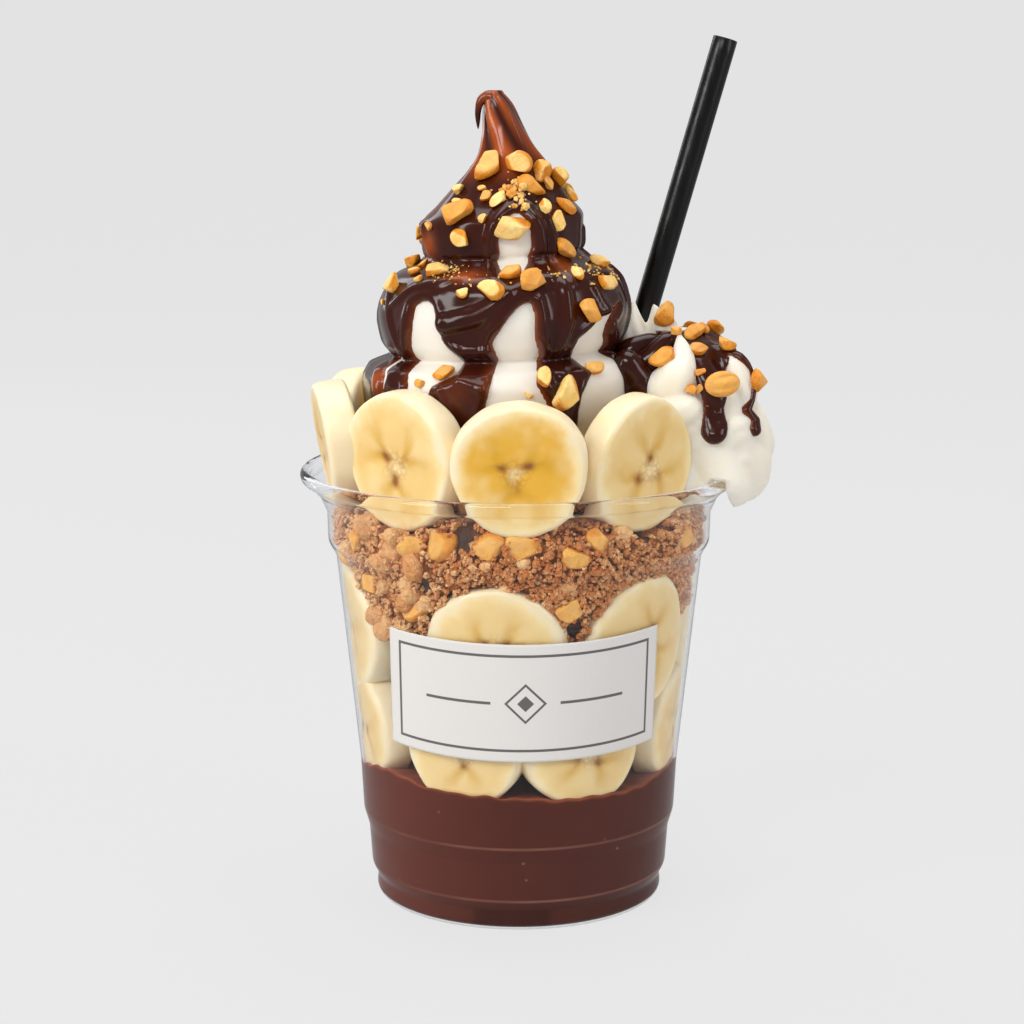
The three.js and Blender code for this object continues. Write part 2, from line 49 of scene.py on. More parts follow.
WALL = 0.6
CUP_OUTSIDE = np.array([
    [31.6, 0], [32.4, 1.2], [32.1, 4.2], [33.5, 6.8], [34.1, 15.5], [35.3, 19.5], [35.9, 31],
    [40.9, 78.3], [42.6, 81.3], [42.8, 88], [44.4, 91.6], [46.8, 94.1],
])
CUP_BASE = np.array([[12, 0], [13.5, 1.2], [25, 1.2], [26.5, 0]])
CUP_LIP = np.array([[48.2, 94.6], [48.8, 95.9], [48.4, 97.1], [47.4, 97.5], [46.5, 96.8]])
CUP_FLOOR = np.array([[31.2, 0.9], [27.2, 0.7], [25.4, 1.9]])
CUP_COLUMNS, CUP_ROUNDING = 168, 0.7
# One millimetre in the metres of the scene.
MM = 0.001


def eased(x, knots, values):
    """A smooth curve through knots: a cubic between two of them, whose slope at a knot is the harmonic
    mean of the slopes on its two sides, or level where those differ in sign."""
    knots, values = np.asarray(knots, float), np.asarray(values, float)
    steps = np.diff(values) / np.diff(knots)
    product = steps[1:] * steps[:-1]
    total = np.where(product > 0, steps[1:] + steps[:-1], 1.0)
    slopes = np.concatenate([steps[:1], np.where(product > 0, 2 * product / total, 0.0), steps[-1:]])
    x = np.clip(x, knots[0], knots[-1])
    i = np.clip(np.searchsorted(knots, x) - 1, 0, len(knots) - 2)
    width = knots[i + 1] - knots[i]
    t = (x - knots[i]) / width
    low = (2 * t**3 - 3 * t**2 + 1) * values[i] + (t**3 - 2 * t**2 + t) * width * slopes[i]
    high = (3 * t**2 - 2 * t**3) * values[i + 1] + (t**3 - t**2) * width * slopes[i + 1]
    return low + high


def wall_inside(height):
    """Inner radius of the cup's wall at a height: the outside less the wall."""
    return np.interp(height, CUP_OUTSIDE[:, 1] + WALL / 2, CUP_OUTSIDE[:, 0]) - WALL


def around(azimuth, radius, height, axis=(0.0, 0.0)):
    """Points round an upright axis: x = r sin(azimuth), y = -r cos(azimuth)."""
    turn = np.radians(azimuth)
    place = np.broadcast_arrays(axis[0] + radius * np.sin(turn), axis[1] - radius * np.cos(turn), height)
    return np.stack(place, axis=-1).astype(float)


def all_round(columns, start=0):
    """Azimuths of a full turn, evenly spaced."""
    return np.linspace(start, start + 360, columns, endpoint=False)


def softened(corners, reach, steps=5):
    """A line through corners, each one replaced by a curve that starts and ends reach away from it, or
    0.48 of a short side: p = (1-t)^2 a + 2t(1-t) corner + t^2 b."""
    before, corner, after = corners[:-2], corners[1:-1], corners[2:]

    def towards(other):
        side = other - corner
        length = np.linalg.norm(side, axis=1, keepdims=True)
        return corner + side * np.minimum(reach / length, 0.48)

    t = np.linspace(0, 1, steps)[None, :, None]
    a, b = towards(before)[:, None], towards(after)[:, None]
    curves = (1 - t) ** 2 * a + 2 * t * (1 - t) * corner[:, None] + t**2 * b
    return np.vstack([corners[:1], curves.reshape(-1, 2), corners[-1:]])


def numbered(rows, columns, again=(0, 1)):
    """Numbers of a grid's points row by row. Again says how many of the first rows and columns are
    repeated at the end, where the grid closes on itself."""
    return np.pad(np.arange(rows * columns).reshape(rows, columns), [(0, more) for more in again], "wrap")


def quads(grid):
    """Faces between the neighbours of a grid of point numbers."""
    return np.stack([grid[:-1, :-1], grid[:-1, 1:], grid[1:, 1:], grid[1:, :-1]], axis=-1)


def closed_skin(rings, foot, top):
    """Points and faces of a skin through rings (row, column, xyz), closed by a point at each end."""
    points = np.vstack([np.reshape(foot, (1, 3)), rings.reshape(-1, 3), np.reshape(top, (1, 3))])
    grid = 1 + numbered(*rings.shape[:2])
    here, beside = grid[:, :-1], grid[:, 1:]
    first = np.stack([np.zeros_like(here[0]), beside[0], here[0]], axis=-1)
    last = np.stack([np.full_like(here[0], len(points) - 1), here[-1], beside[-1]], axis=-1)
    return points, [quads(grid).reshape(-1, 4), first, last]


def place_object(name, data):
    """An object of this data, put into the scene."""
    holder = bpy.data.objects.new(name, data)
    bpy.context.scene.collection.objects.link(holder)
    return holder


def make_piece(name, points, faces, finish, stands_for=(), fields=None, uv=None, smooth=True):
    """A mesh of points in millimetres and blocks of faces, with its finish, riding on the cup. Fields
    are numbers and uv a pair for each point."""
    mesh = bpy.data.meshes.new(name)
    mesh.from_pydata(points * MM, [], [face for block in faces for face in block.tolist()])
    for field, values in (fields or {}).items():
        mesh.attributes.new(field, "FLOAT", "POINT").data.foreach_set("value", values.astype(np.float32))
    if uv is not None:
        corner = np.empty(len(mesh.loops), np.int32)
        mesh.loops.foreach_get("vertex_index", corner)
        mesh.uv_layers.new(name="place").uv.foreach_set("vector", uv[corner].ravel().astype(np.float32))
    mesh.polygons.foreach_set("use_smooth", np.full(len(mesh.polygons), smooth))
    mesh.materials.append(finish)
    mesh.update()
    piece = place_object(name, mesh)
    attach(piece, "root")
    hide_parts(*stands_for)


def colour(red, green, blue):
    """A linear colour from screen values of 0 to 255."""
    share = np.array([red, green, blue]) / 255
    linear = np.where(share <= 0.04045, share / 12.92, ((share + 0.055) / 1.055) ** 2.4)
    return (*linear.tolist(), 1.0)


def give(socket, value):
    """Links another node's socket to a socket, or sets a value on it. None leaves it as it is."""
    if isinstance(value, bpy.types.NodeSocket):
        socket.id_data.links.new(value, socket)
    elif value is not None:
        socket.default_value = value


def new_material(name):
    """A new material with a Principled shader."""
    material = bpy.data.materials.new(name)
    material.use_nodes = True
    return material


def shaded(material, **sockets):
    """The material with values or other nodes' sockets given to its Principled shader."""
    shader = material.node_tree.nodes["Principled BSDF"]
    for name, value in sockets.items():
        give(shader.inputs[name.replace("_", " ")], value)
    return material


def add_node(kind, *inputs, **settings):
    """A shader node in the tree of its inputs, with its settings. The inputs are given in turn to the
    sockets that the node shows."""
    tree = next(value.id_data for value in inputs if isinstance(value, bpy.types.NodeSocket))
    node = tree.nodes.new("ShaderNode" + kind)
    for setting, value in settings.items():
        setattr(node, setting, value)
    for socket, value in zip([socket for socket in node.inputs if socket.enabled], inputs):
        give(socket, value)
    return next(socket for socket in node.outputs if socket.enabled)


def maths(operation, *inputs, clamp=False):
    """One step of arithmetic on sockets and numbers."""
    return add_node("Math", *inputs, operation=operation, use_clamp=clamp)


def clear_plastic():
    """Clear plastic that lets lamps and soft light through to the food."""
    material = new_material("clear_plastic")
    path = material.node_tree.nodes.new("ShaderNodeLightPath").outputs
    let_through = maths("MAXIMUM", path["Is Shadow Ray"], path["Is Diffuse Ray"])
    return shaded(material, Base_Color=colour(250, 251, 252), Roughness=0.03, IOR=1.13,
                  Transmission_Weight=1.0, Coat_Weight=0.35, Coat_IOR=1.5,
                  Alpha=maths("MULTIPLY_ADD", let_through, -0.93, 1.0))


def make_cup():
    """The wall's section turned round the cup's axis: up the outside, over the lip and down the inside."""
    inside = CUP_OUTSIDE[:0:-1] + [-WALL, WALL / 2]
    section = softened(np.vstack([CUP_BASE, CUP_OUTSIDE, CUP_LIP, inside, CUP_FLOOR]), CUP_ROUNDING)
    rings = around(all_round(CUP_COLUMNS), section[:, :1], section[:, 1:])
    points, faces = closed_skin(rings, [0, 0, 0], [0, 0, CUP_FLOOR[-1, 1]])
    make_piece("clear_cup", points, faces, clear_plastic(), ["cup"])


make_cup()


# ---- Chocolate mousse ----------------------------------------------------------------------------
# Mousse poured into the foot of the cup, where it sets against the plastic. Small bubbles show through
# the wall, and its edge is a thin, redder smear that climbs a little higher on one side.

MOUSSE_EDGE = np.array([
    [-180, 30.4], [-130, 31.2], [-95, 30.6], [-78, 31.2], [-55, 33.0], [-40, 32.2], [-24, 31.6],
    [-7, 31.2], [4, 30.7], [22, 30.1], [38, 30.0], [55, 30.8], [72, 32.0], [95, 31.0], [140, 30.2],
    [180, 30.4],
])
MOUSSE_COLUMNS, MOUSSE_ROWS, MOUSSE_TOP_ROWS = 240, 90, 24
# Radius and height where the mousse lies on the cup's foot.
MOUSSE_FOOT = np.array([[22.0, 2.1], [25.2, 2.1], [27.0, 0.6], [30.8, 0.6]])
MOUSSE_WALL_FROM, MOUSSE_DIP, MOUSSE_SMEAR = 1.2, 1.6, 0.7
# Heights of the painted highlights where the cup's stacking steps catch light.
MOUSSE_STEP_HIGHLIGHTS = [6.9, 19.3]
INTO_WALL = 0.2


def waves(azimuth, height, seed, count=10, turns=14, per_mm=0.5):
    """A soft uneven relief of about -1 to 1: cosines of the azimuth and the height, with seeded turns,
    heights and phases, added up and divided by the root of their number."""
    rng = np.random.default_rng(seed)
    total = 0.0
    for _ in range(count):
        turn, rise = rng.integers(-turns, turns + 1), rng.uniform(-per_mm, per_mm)
        total = total + np.cos(np.radians(azimuth) * turn + height * rise + rng.uniform(0, 2 * np.pi))
    return total / math.sqrt(count)


def times(*factors, clamp=False):
    """The product of sockets and numbers, taken in turn."""
    product = factors[0]
    for factor in factors[1:]:
        product = maths("MULTIPLY", product, factor, clamp=clamp)
    return product


def mix(share, one, other):
    """Colour one where share is 0 and colour other where it is 1."""
    return add_node("Mix", share, one, other, data_type="RGBA")


def painted(body, *layers):
    """A colour with others laid over it in turn, each given as its share and its colour."""
    for share, tone in layers:
        body = mix(share, body, tone)
    return body


def mottle_group():
    """A group that mixes two tones by soft noise: mask = noise stretched round its middle."""
    tree = bpy.data.node_groups.new("mottle", "ShaderNodeTree")
    for name, kind in (("Vector", "Vector"), ("Scale", "Float"), ("Contrast", "Float"), ("Tone", "Color"),
                       ("Other Tone", "Color")):
        tree.interface.new_socket(name, in_out="INPUT", socket_type="NodeSocket" + kind)
    tree.interface.new_socket("Colour", in_out="OUTPUT", socket_type="NodeSocketColor")
    tree.interface.new_socket("Mask", in_out="OUTPUT", socket_type="NodeSocketFloat")
    given = tree.nodes.new("NodeGroupInput").outputs
    out = tree.nodes.new("NodeGroupOutput").inputs
    off_middle = maths("SUBTRACT", add_node("TexNoise", given["Vector"], given["Scale"], 4.0), 0.5)
    mask = maths("MULTIPLY_ADD", off_middle, given["Contrast"], 0.5, clamp=True)
    give(out["Colour"], mix(mask, given["Tone"], given["Other Tone"]))
    give(out["Mask"], mask)
    return tree


MOTTLE = mottle_group()


def own_place(material):
    """The place on a piece in its own coordinates, in metres."""
    return material.node_tree.nodes.new("ShaderNodeTexCoord").outputs["Object"]


def mottled(material, scale, contrast, tone=None, other=None):
    """Two tones mixed by the mottle group over the piece's own coordinates, and the mask between them.
    Without tones only the mask is of use."""
    node = add_node("Group", own_place(material), scale, contrast, tone, other, node_tree=MOTTLE).node
    return node.outputs["Colour"], node.outputs["Mask"]


def field_of(material, name):
    """The number that a point field of the mesh holds."""
    node = material.node_tree.nodes.new("ShaderNodeAttribute")
    node.attribute_name = name
    return node.outputs["Fac"]


def smooth_mask(value, start, end):
    """0 at start, 1 at end and a smooth step between them, whichever of the two is larger."""
    return add_node("MapRange", value, start, end, 0.0, 1.0, interpolation_type="SMOOTHSTEP")


def bump(height, depth):
    """A bump of a depth in millimetres where height is 1."""
    return add_node("Bump", 1.0, depth * MM, None, height)


def mousse_finish():
    """Two browns with bubbles, a painted highlight under each stacking step, a dark foot, a left side painted
    lighter as light and reflection from the left lamp, a painted reflection low at the front and the redder
    smear along the edge."""
    material = new_material("chocolate_mousse")
    place = own_place(material)
    x, y, height = add_node("SeparateXYZ", place).node.outputs
    body, _ = mottled(material, 60, 1.4, colour(86, 38, 27), colour(73, 30, 21))
    bubbles = smooth_mask(add_node("TexVoronoi", place, 190.0), 0.09, 0.05)
    body = mix(times(bubbles, 0.45), body, colour(160, 110, 92))
    uneven = add_node("TexNoise", place, 90.0, 2.0)
    # A painted highlight along each stacking step, where the plastic's step catches light.
    for step in MOUSSE_STEP_HIGHLIGHTS:
        off_line = maths("ABSOLUTE", maths("SUBTRACT", height, step * MM))
        body = mix(times(smooth_mask(off_line, 0.5 * MM, 0.1 * MM), uneven), body, colour(142, 94, 78))
    # A painted reflection: a darker patch low at the front of the foot.
    off_reflection = maths("ABSOLUTE", maths("ADD", x, 1.5 * MM))
    painted_reflection = times(smooth_mask(off_reflection, 9 * MM, 7.4 * MM), smooth_mask(y, 0.0, -4 * MM),
                  smooth_mask(height, 4.8 * MM, 4.2 * MM))
    # The left side is painted lighter as light and reflection from the left lamp.
    body = painted(
        body,
        (times(smooth_mask(height, 6.6 * MM, 4.6 * MM), 0.6), colour(64, 24, 12)),
        (times(smooth_mask(x, -4 * MM, -30 * MM), 0.6), colour(106, 54, 42)),
        (times(painted_reflection, 0.75), colour(50, 15, 6)),
        (field_of(material, "edge"), colour(150, 78, 50)))
    return shaded(material, Base_Color=body, Roughness=0.5, Specular_IOR_Level=0.15)


def make_mousse():
    """Rings from the floor up the wall to the edge line, then in over the top, which dips a little."""
    azimuth = all_round(MOUSSE_COLUMNS, -180)
    edge = eased(azimuth, MOUSSE_EDGE[:, 0], MOUSSE_EDGE[:, 1]) + 0.25 * waves(azimuth, 0, 3, turns=40)
    rise = np.linspace(0, 1, MOUSSE_ROWS)[:, None]
    height = MOUSSE_WALL_FROM + (edge - MOUSSE_WALL_FROM) * rise
    wall = around(azimuth, wall_inside(height) + INTO_WALL, height)
    share = np.linspace(0.985, 0.1, MOUSSE_TOP_ROWS)[:, None]
    dip = edge - MOUSSE_DIP * (1 - share**6) + 0.35 * waves(azimuth[None], 12 * share, 4, turns=5)
    top = around(azimuth, (wall_inside(edge) - 0.1) * share, dip)
    floor = around(azimuth, MOUSSE_FOOT[:, :1], MOUSSE_FOOT[:, 1:])
    rings = np.concatenate([floor, wall, top])
    points, faces = closed_skin(rings, [0, 0, MOUSSE_FOOT[0, 1]], [0, 0, edge.mean() - MOUSSE_DIP])
    smear = np.zeros(rings.shape[:2])
    smear[len(floor):] = 0.75
    smear[len(floor):-len(top)] *= np.clip(1 - (edge - height) / MOUSSE_SMEAR, 0, 1)
    fields = {"edge": np.concatenate([[0], smear.ravel(), [0]])}
    make_piece("mousse_layer", points, faces, mousse_finish(), ["chocolate_mousse"],
               fields)


make_mousse()


# ---- Banana slices -------------------------------------------------------------------------------
# Ripe banana cut across into thick discs. The cut face has a pale rim, a yellower middle and a star of
# three seed chambers; the side is smooth. Slices stand against the wall and round the rim of the cup.

WALL_SLICE_THICKNESS, RIM_SLICE_THICKNESS = 6.5, 7.5
WALL_SLICE_LEAN = 6.0
LOWER_RING = {"azimuths": [-75, -21, 24.5, 77, 130, 182, 234], "radius": 13.2, "height": 41.2}
MIDDLE_RING = {"azimuths": [-79, -8, 46, 100, 157, 220], "radius": 14.9, "height": 63.5}
# Azimuth, reach of the middle, height, radius, lean outwards, ripeness, turn of the star.
RIM_SLICES = [
    [-80, 40.2, 104, 13.4, 9, 0.32, 10], [-42.5, 35.2, 103, 14.9, 4, 0.5, 28],
    [0, 38.8, 103.2, 14.2, 8, 1.0, 33], [44, 35.3, 102, 14.6, 5, 0.38, 90],
    [143, 34.6, 103, 14, 5, 0.6, 0], [180, 37.6, 103.4, 14.3, 8, 0.8, 70],
    [217, 34.6, 103, 13.8, 5, 0.4, 45], [250, 38, 103.6, 13.6, 9, 0.7, 100],
]
# Wall slices differ in ripeness by turns, and the star of each is turned further than the last one's.
WALL_SLICE_RIPENESS, WALL_SLICE_TURN = (0.45, 0.2, 0.3), 50
SLICE_COLUMNS, SLICE_FACE_ROWS, SLICE_EDGE_ROWS, SLICE_EDGE = 96, 26, 7, 1.3


def own_map(material):
    """The map of a mesh, and its two numbers."""
    node = material.node_tree.nodes.new("ShaderNodeUVMap")
    node.uv_map = "place"
    across, up, _ = add_node("SeparateXYZ", node.outputs["UV"]).node.outputs
    return node.outputs["UV"], across, up


def hump(value, middle, width):
    """exp(-((value - middle) / width)^2)"""
    away = maths("DIVIDE", maths("SUBTRACT", value, middle), width)
    return maths("EXPONENT", times(away, away, -1.0))


def banana_finish():
    """The face is drawn from its own map, whose middle is 0, 0 and whose edge is 1 away. Round it the
    angle is folded three times, so that one chamber with its two rows of seeds makes the whole star."""
    material = new_material("banana_flesh")
    place, across, up = own_map(material)
    stray = add_node("TexNoise", own_place(material), 260.0, 3.0)
    stray_more = maths("SUBTRACT", stray, 0.5)
    reach = add_node("VectorMath", place, operation="LENGTH")
    core = maths("MULTIPLY_ADD", stray_more, 0.3, reach)
    bent = maths("MULTIPLY_ADD", stray_more, 0.5, maths("ARCTAN2", up, across))
    fold = maths("PINGPONG", bent, math.radians(60))

    # The star's rays stand 38 degrees off the folds and run together in the middle.
    ray = math.radians(38)
    spread = maths("DIVIDE", 0.2, maths("MAXIMUM", reach, 0.2))
    off_ray = times(maths("MULTIPLY_ADD", spread, ray, maths("SUBTRACT", fold, ray)), reach)
    rays = times(hump(off_ray, 0.0, maths("MULTIPLY_ADD", reach, 0.13, 0.05)),
                 times(smooth_mask(core, 0.85, 0.3), smooth_mask(reach, 0.1, 0.22)))
    streaks = times(rays, maths("MULTIPLY_ADD", stray, 1.2, 0.3), clamp=True)
    seeds = times(hump(times(fold, reach), 0.0, 0.075), hump(reach, 0.21, 0.1))
    dotted = times(seeds, maths("MULTIPLY_ADD", stray_more, 3.6, 0.8), clamp=True)
    cells = add_node("TexVoronoi", place, 9.0, feature="DISTANCE_TO_EDGE")
    net = times(smooth_mask(cells, 0.22, 0.0), hump(reach, 0.12, 0.11))

    blotch = add_node("TexNoise", own_place(material), 110.0, 2.0)
    yellow = times(smooth_mask(core, 0.94, 0.66), smooth_mask(blotch, 0.15, 0.65))
    ripe = field_of(material, "ripe")
    dull = maths("MULTIPLY_ADD", ripe, -0.6, 0.55, clamp=True)
    rim, _ = mottled(material, 90, 1.2, colour(247, 232, 198), colour(244, 223, 180))
    inner, _ = mottled(material, 140, 2.0, colour(252, 231, 176), colour(247, 218, 150))
    face = painted(
        rim,
        (smooth_mask(core, 0.97, 0.8), inner),
        (times(yellow, ripe), colour(230, 176, 56)),
        (times(dull, smooth_mask(core, 0.95, 0.7)), colour(230, 194, 132)),
        (times(smooth_mask(core, 0.17, 0.04), 0.5), colour(252, 232, 186)),
        (times(streaks, 0.75), colour(214, 158, 22)),
        (times(net, 0.28), colour(150, 98, 42)),
        (dotted, colour(150, 92, 38)))
    sunk = maths("ADD", times(streaks, -0.6), times(stray, 0.5))
    return shaded(material, Base_Color=face, Normal=bump(sunk, 0.35), Roughness=0.36,
                  Specular_IOR_Level=0.45, Subsurface_Weight=0.2,
                  Subsurface_Radius=(0.002, 0.0012, 0.0005), Subsurface_Scale=1.0)


def slice_surface(radius, thickness, turn, rng):
    """Rings from the middle of the outer face over the edge to the middle of the inner face: a rounded
    disc whose reach is r (1 + lobes cos 3(angle - turn)), with a slightly uneven knife cut."""
    face = np.linspace(0.03, 0.86, SLICE_FACE_ROWS)
    bend = np.radians(np.linspace(0, 90, SLICE_EDGE_ROWS))
    half = thickness / 2
    share = np.concatenate([face, 1 - (SLICE_EDGE / radius) * (1 - np.sin(bend))])
    height = np.concatenate([np.full(len(face), half), half - SLICE_EDGE * (1 - np.cos(bend))])
    share = np.concatenate([share, [1.006, 1.008, 1.006], share[::-1]])[:, None]
    height = np.concatenate([height, [0.5 * half, 0, -0.5 * half], -height[::-1]])[:, None]
    angle = np.linspace(0, 2 * np.pi, SLICE_COLUMNS, endpoint=False)
    lobed = 1 + 0.022 * np.cos(3 * (angle - turn)) + 0.006 * np.cos(5 * angle + rng.uniform(0, 6))
    lobed = lobed + 0.004 * np.cos(11 * angle + rng.uniform(0, 6))
    reach = radius * share * (lobed[None] * share**2 + 1 - share**2)
    cut = 0.14 * waves(np.degrees(angle)[None], 8 * share, rng.integers(1000), turns=4)
    dimple = -0.35 * np.exp(-((share / 0.22) ** 2))
    z = height + (cut + dimple) * np.sign(height) * np.minimum(1, np.abs(height) / half) ** 4
    return np.stack([reach * np.cos(angle), reach * np.sin(angle), z], axis=-1)[::-1]


def rotation(angle):
    """A plane's two axes turned by an angle."""
    return np.array([[math.cos(angle), -math.sin(angle)], [math.sin(angle), math.cos(angle)]])


def slice_frame(azimuth, lean):
    """Axes of a standing slice: its face looks out along the azimuth and its top leans out by lean."""
    about_x, about_z = np.eye(3), np.eye(3)
    about_x[1:, 1:] = rotation(math.radians(90 + lean))
    about_z[:2, :2] = rotation(math.radians(azimuth))
    return about_z @ about_x


def slice_rows():
    """Every slice as name, azimuth, reach, height, radius, thickness, lean, ripeness and turn. Those in
    the cup reach out until the corners of their faces touch its wall."""
    rows = []
    for name, ring in (("lower", LOWER_RING), ("middle", MIDDLE_RING)):
        height, radius = ring["height"], ring["radius"]
        touching = math.sqrt((wall_inside(height) - 0.3) ** 2 - (radius - 0.5) ** 2)
        reach = touching - WALL_SLICE_THICKNESS / 2 - 0.3
        for i, azimuth in enumerate(ring["azimuths"]):
            rows.append((f"{name}_banana_slice_{i + 1}", azimuth, reach, height, radius, WALL_SLICE_THICKNESS,
                         WALL_SLICE_LEAN, WALL_SLICE_RIPENESS[i % 3], WALL_SLICE_TURN * i - 20))
    for i, (azimuth, reach, height, radius, lean, ripe, turn) in enumerate(RIM_SLICES, 1):
        rows.append((f"rim_banana_slice_{i}", azimuth, reach, height, radius, RIM_SLICE_THICKNESS, lean, ripe,
                     turn))
    return rows


def make_slices():
    """Each slice in its place, its map turned so that no two stars stand alike. Those inside the cup are
    pressed against its wall and bend with it, z + sqrt(R^2 - x^2) - sqrt(R^2 - r^2)."""
    flesh = banana_finish()
    rng = np.random.default_rng(5)
    for name, azimuth, reach, height, radius, thickness, lean, ripe, turn in slice_rows():
        turn = math.radians(turn)
        rings = slice_surface(radius, thickness, turn, rng)
        if thickness == WALL_SLICE_THICKNESS:
            bend = wall_inside(height) - 0.5
            rings[..., 2] += np.sqrt(bend**2 - np.minimum(rings[..., 0] ** 2, radius**2))
            rings[..., 2] -= math.sqrt(bend**2 - radius**2)
        points, faces = closed_skin(rings, rings[0].mean(0), rings[-1].mean(0))
        off = rng.uniform(-0.09, 0.09, 2)
        to_edge = 1 - np.hypot(*points[:, :2].T) / radius
        uv = points[:, :2] @ rotation(turn) / radius * rng.uniform(0.92, 1.05) + off * to_edge[:, None]
        placed = points @ slice_frame(azimuth, lean).T + around(azimuth, reach, height)
        make_piece("cut_" + name, placed, faces, flesh, [name],
                   {"ripe": np.full(len(placed), ripe)}, uv)


make_slices()


# ---- Biscuit crumble and its peanuts -------------------------------------------------------------
# Dry biscuit broken into grains and lumps, heaped over the middle slices and pressed against the wall,
# with roasted peanuts among them. A rough core carries the grains, and each kind is one joined mesh.

CRUMBLE_OUTSIDE = np.array([
    [23, 31.5], [24, 44], [25.5, 56], [33, 62], [38.0, 67], [39.7, 77.5], [41.2, 82], [41.3, 87.4],
    [38, 90.6],
])
GRAINS, GRAINS_KEPT, LUMPS, LUMP_KNOBS, CORE_COLUMNS = 18500, 12200, 330, 70, 220
# The swirl stands on the heap: its axis, and the radius that is left free of crumbs under it.
ICE_AXIS, UNDER_ICE = (-3.6, 0.0), 26.0
# Hollows at the wall, kept free of grains, where the core is painted dark as shade: azimuth, height, half
# width.
CRUMBLE_HOLLOWS = [[-17.3, 88.6, 2.8], [17.7, 68.3, 2.2], [-31, 77.5, 1.8], [42, 87.5, 2.0]]
# Peanuts against the wall: azimuth, height, length.
CRUMBLE_NUTS = [
    [-25.2, 86.4, 8.2], [-9.0, 86.9, 6.8], [1.2, 86.2, 8], [16.6, 84.2, 6.6], [-36.4, 71.1, 6.6],
    [15.6, 72.6, 5.6], [-34.5, 85.4, 6.4], [24, 87.4, 6.2], [62, 85, 6], [95, 86.2, 7], [126, 84.5, 7],
    [158, 74.0, 6], [190, 85.5, 6.4], [222, 86.4, 6.6], [252, 84.6, 6.8], [-62, 84.0, 6.2], [-58, 75, 5],
]


def ball(rows, columns):
    """Unit ball on a grid of latitude and longitude, each row turned half a step on from the last."""
    latitude = np.pi * (np.arange(1, rows + 1) / (rows + 1) - 0.5)
    longitude = 2 * np.pi * (np.arange(columns)[None] + 0.5 * np.arange(rows)[:, None]) / columns
    flat = np.cos(latitude)[:, None]
    rings = np.stack([flat * np.cos(longitude), flat * np.sin(longitude),
                      np.broadcast_to(np.sin(latitude)[:, None], longitude.shape)], axis=-1)
    points, (walls, first, last) = closed_skin(rings, [0, 0, -1], [0, 0, 1])
    thirds = np.vstack([walls[:, [0, 1, 2]], walls[:, [0, 2, 3]], first, last])
    return points, thirds


def unit(vectors):
    """The same directions with a length of 1."""
    return vectors / np.linalg.norm(vectors, axis=-1, keepdims=True)


def turned_frames(outward, spin):
    """Axes for pieces that lie on a surface: z along outward, and x turned round it by spin."""
    z = unit(outward)
    x = unit(np.cross(np.array([0, 0, 1.0]), z) + [1e-4, 2e-4, 0])
    y = np.cross(z, x)
    c, s = np.cos(spin)[:, None], np.sin(spin)[:, None]
    return np.stack([c * x + s * y, c * y - s * x, z], axis=-1)


def many(shapes, frames, places, faces):
    """Points and faces of shapes (n, v, xyz), each in its own frame and place, as one mesh."""
    points = np.einsum("nij,nvj->nvi", frames, shapes) + places[:, None]
    offsets = np.arange(len(shapes))[:, None, None] * shapes.shape[1]
    return points.reshape(-1, 3), [(faces[None] + offsets).reshape(-1, faces.shape[1])]


def chopped(lengths, breadths, rng, planes=7, softness=0.035):
    """Chopped peanuts: balls cut by planes, five of them upright, each cut softened,
    p - s ln(1 + exp((p.n - d)/s)) n, then stretched to their length and breadth. Also how near each
    point is to a knife cut."""
    base, faces = ball(rows=14, columns=22)
    count = len(lengths)
    points = np.repeat(base[None], count, axis=0)
    cut = np.zeros(points.shape[:2])
    for plane in range(planes):
        turn = rng.uniform(0, 2 * np.pi, count)
        rise = rng.normal(0, 0.3, count) if plane < 5 else rng.uniform(0.85, 1.5, count)
        normal = np.stack([np.cos(rise) * np.cos(turn), np.cos(rise) * np.sin(turn), np.sin(rise)], axis=-1)
        past = np.einsum("nvj,nj->nv", points, normal) - rng.uniform(0.42, 0.8, count)[:, None]
        points = points - (softness * np.logaddexp(0, past / softness))[..., None] * normal[:, None]
        if plane > 2:
            cut = np.maximum(cut, np.clip(1 + past / 0.1, 0, 1))
    points = points - (points.max(axis=1, keepdims=True) + points.min(axis=1, keepdims=True)) / 2
    size = np.stack([lengths, breadths, breadths * rng.uniform(0.6, 0.85, count)], axis=-1)
    return points * (size / np.ptp(points, axis=1))[:, None], faces, cut


def before_slices(points, spare):
    """How far each point stands out past a plane just behind a slice, measured along the slice's axis,
    where it lies in or up to 24 mm in front of that slice; zero elsewhere. Also that axis."""
    past, facing = np.zeros(len(points)), np.zeros((len(points), 3))
    for _, azimuth, reach, height, radius, thickness, lean, *_ in slice_rows():
        axes = slice_frame(azimuth, lean)
        local = (points - around(azimuth, reach, height)) @ axes
        ahead = local[:, 2] + thickness / 2 + spare
        ahead = np.where(np.hypot(*local[:, :2].T) < radius + spare, ahead, 0)
        nearer = (ahead > past) & (ahead < 24)
        past = np.where(nearer, ahead, past)
        facing = np.where(nearer[:, None], axes[:, 2], facing)
    return past, facing


def peanut_finish():
    """Golden skin and pale cuts, both mottled, with a fine grain."""
    material = new_material("roasted_peanut")
    outside, _ = mottled(material, 380, 2.6, colour(238, 160, 46), colour(210, 122, 24))
    inside, _ = mottled(material, 300, 2.6, colour(254, 226, 152), colour(244, 196, 104))
    grain = mottled(material, 700, 1.8)[1]
    return shaded(material, Base_Color=mix(field_of(material, "cut"), outside, inside),
                  Normal=bump(grain, 0.3), Roughness=0.5, Specular_IOR_Level=0.3,
                  Subsurface_Weight=0.12, Subsurface_Scale=0.001)


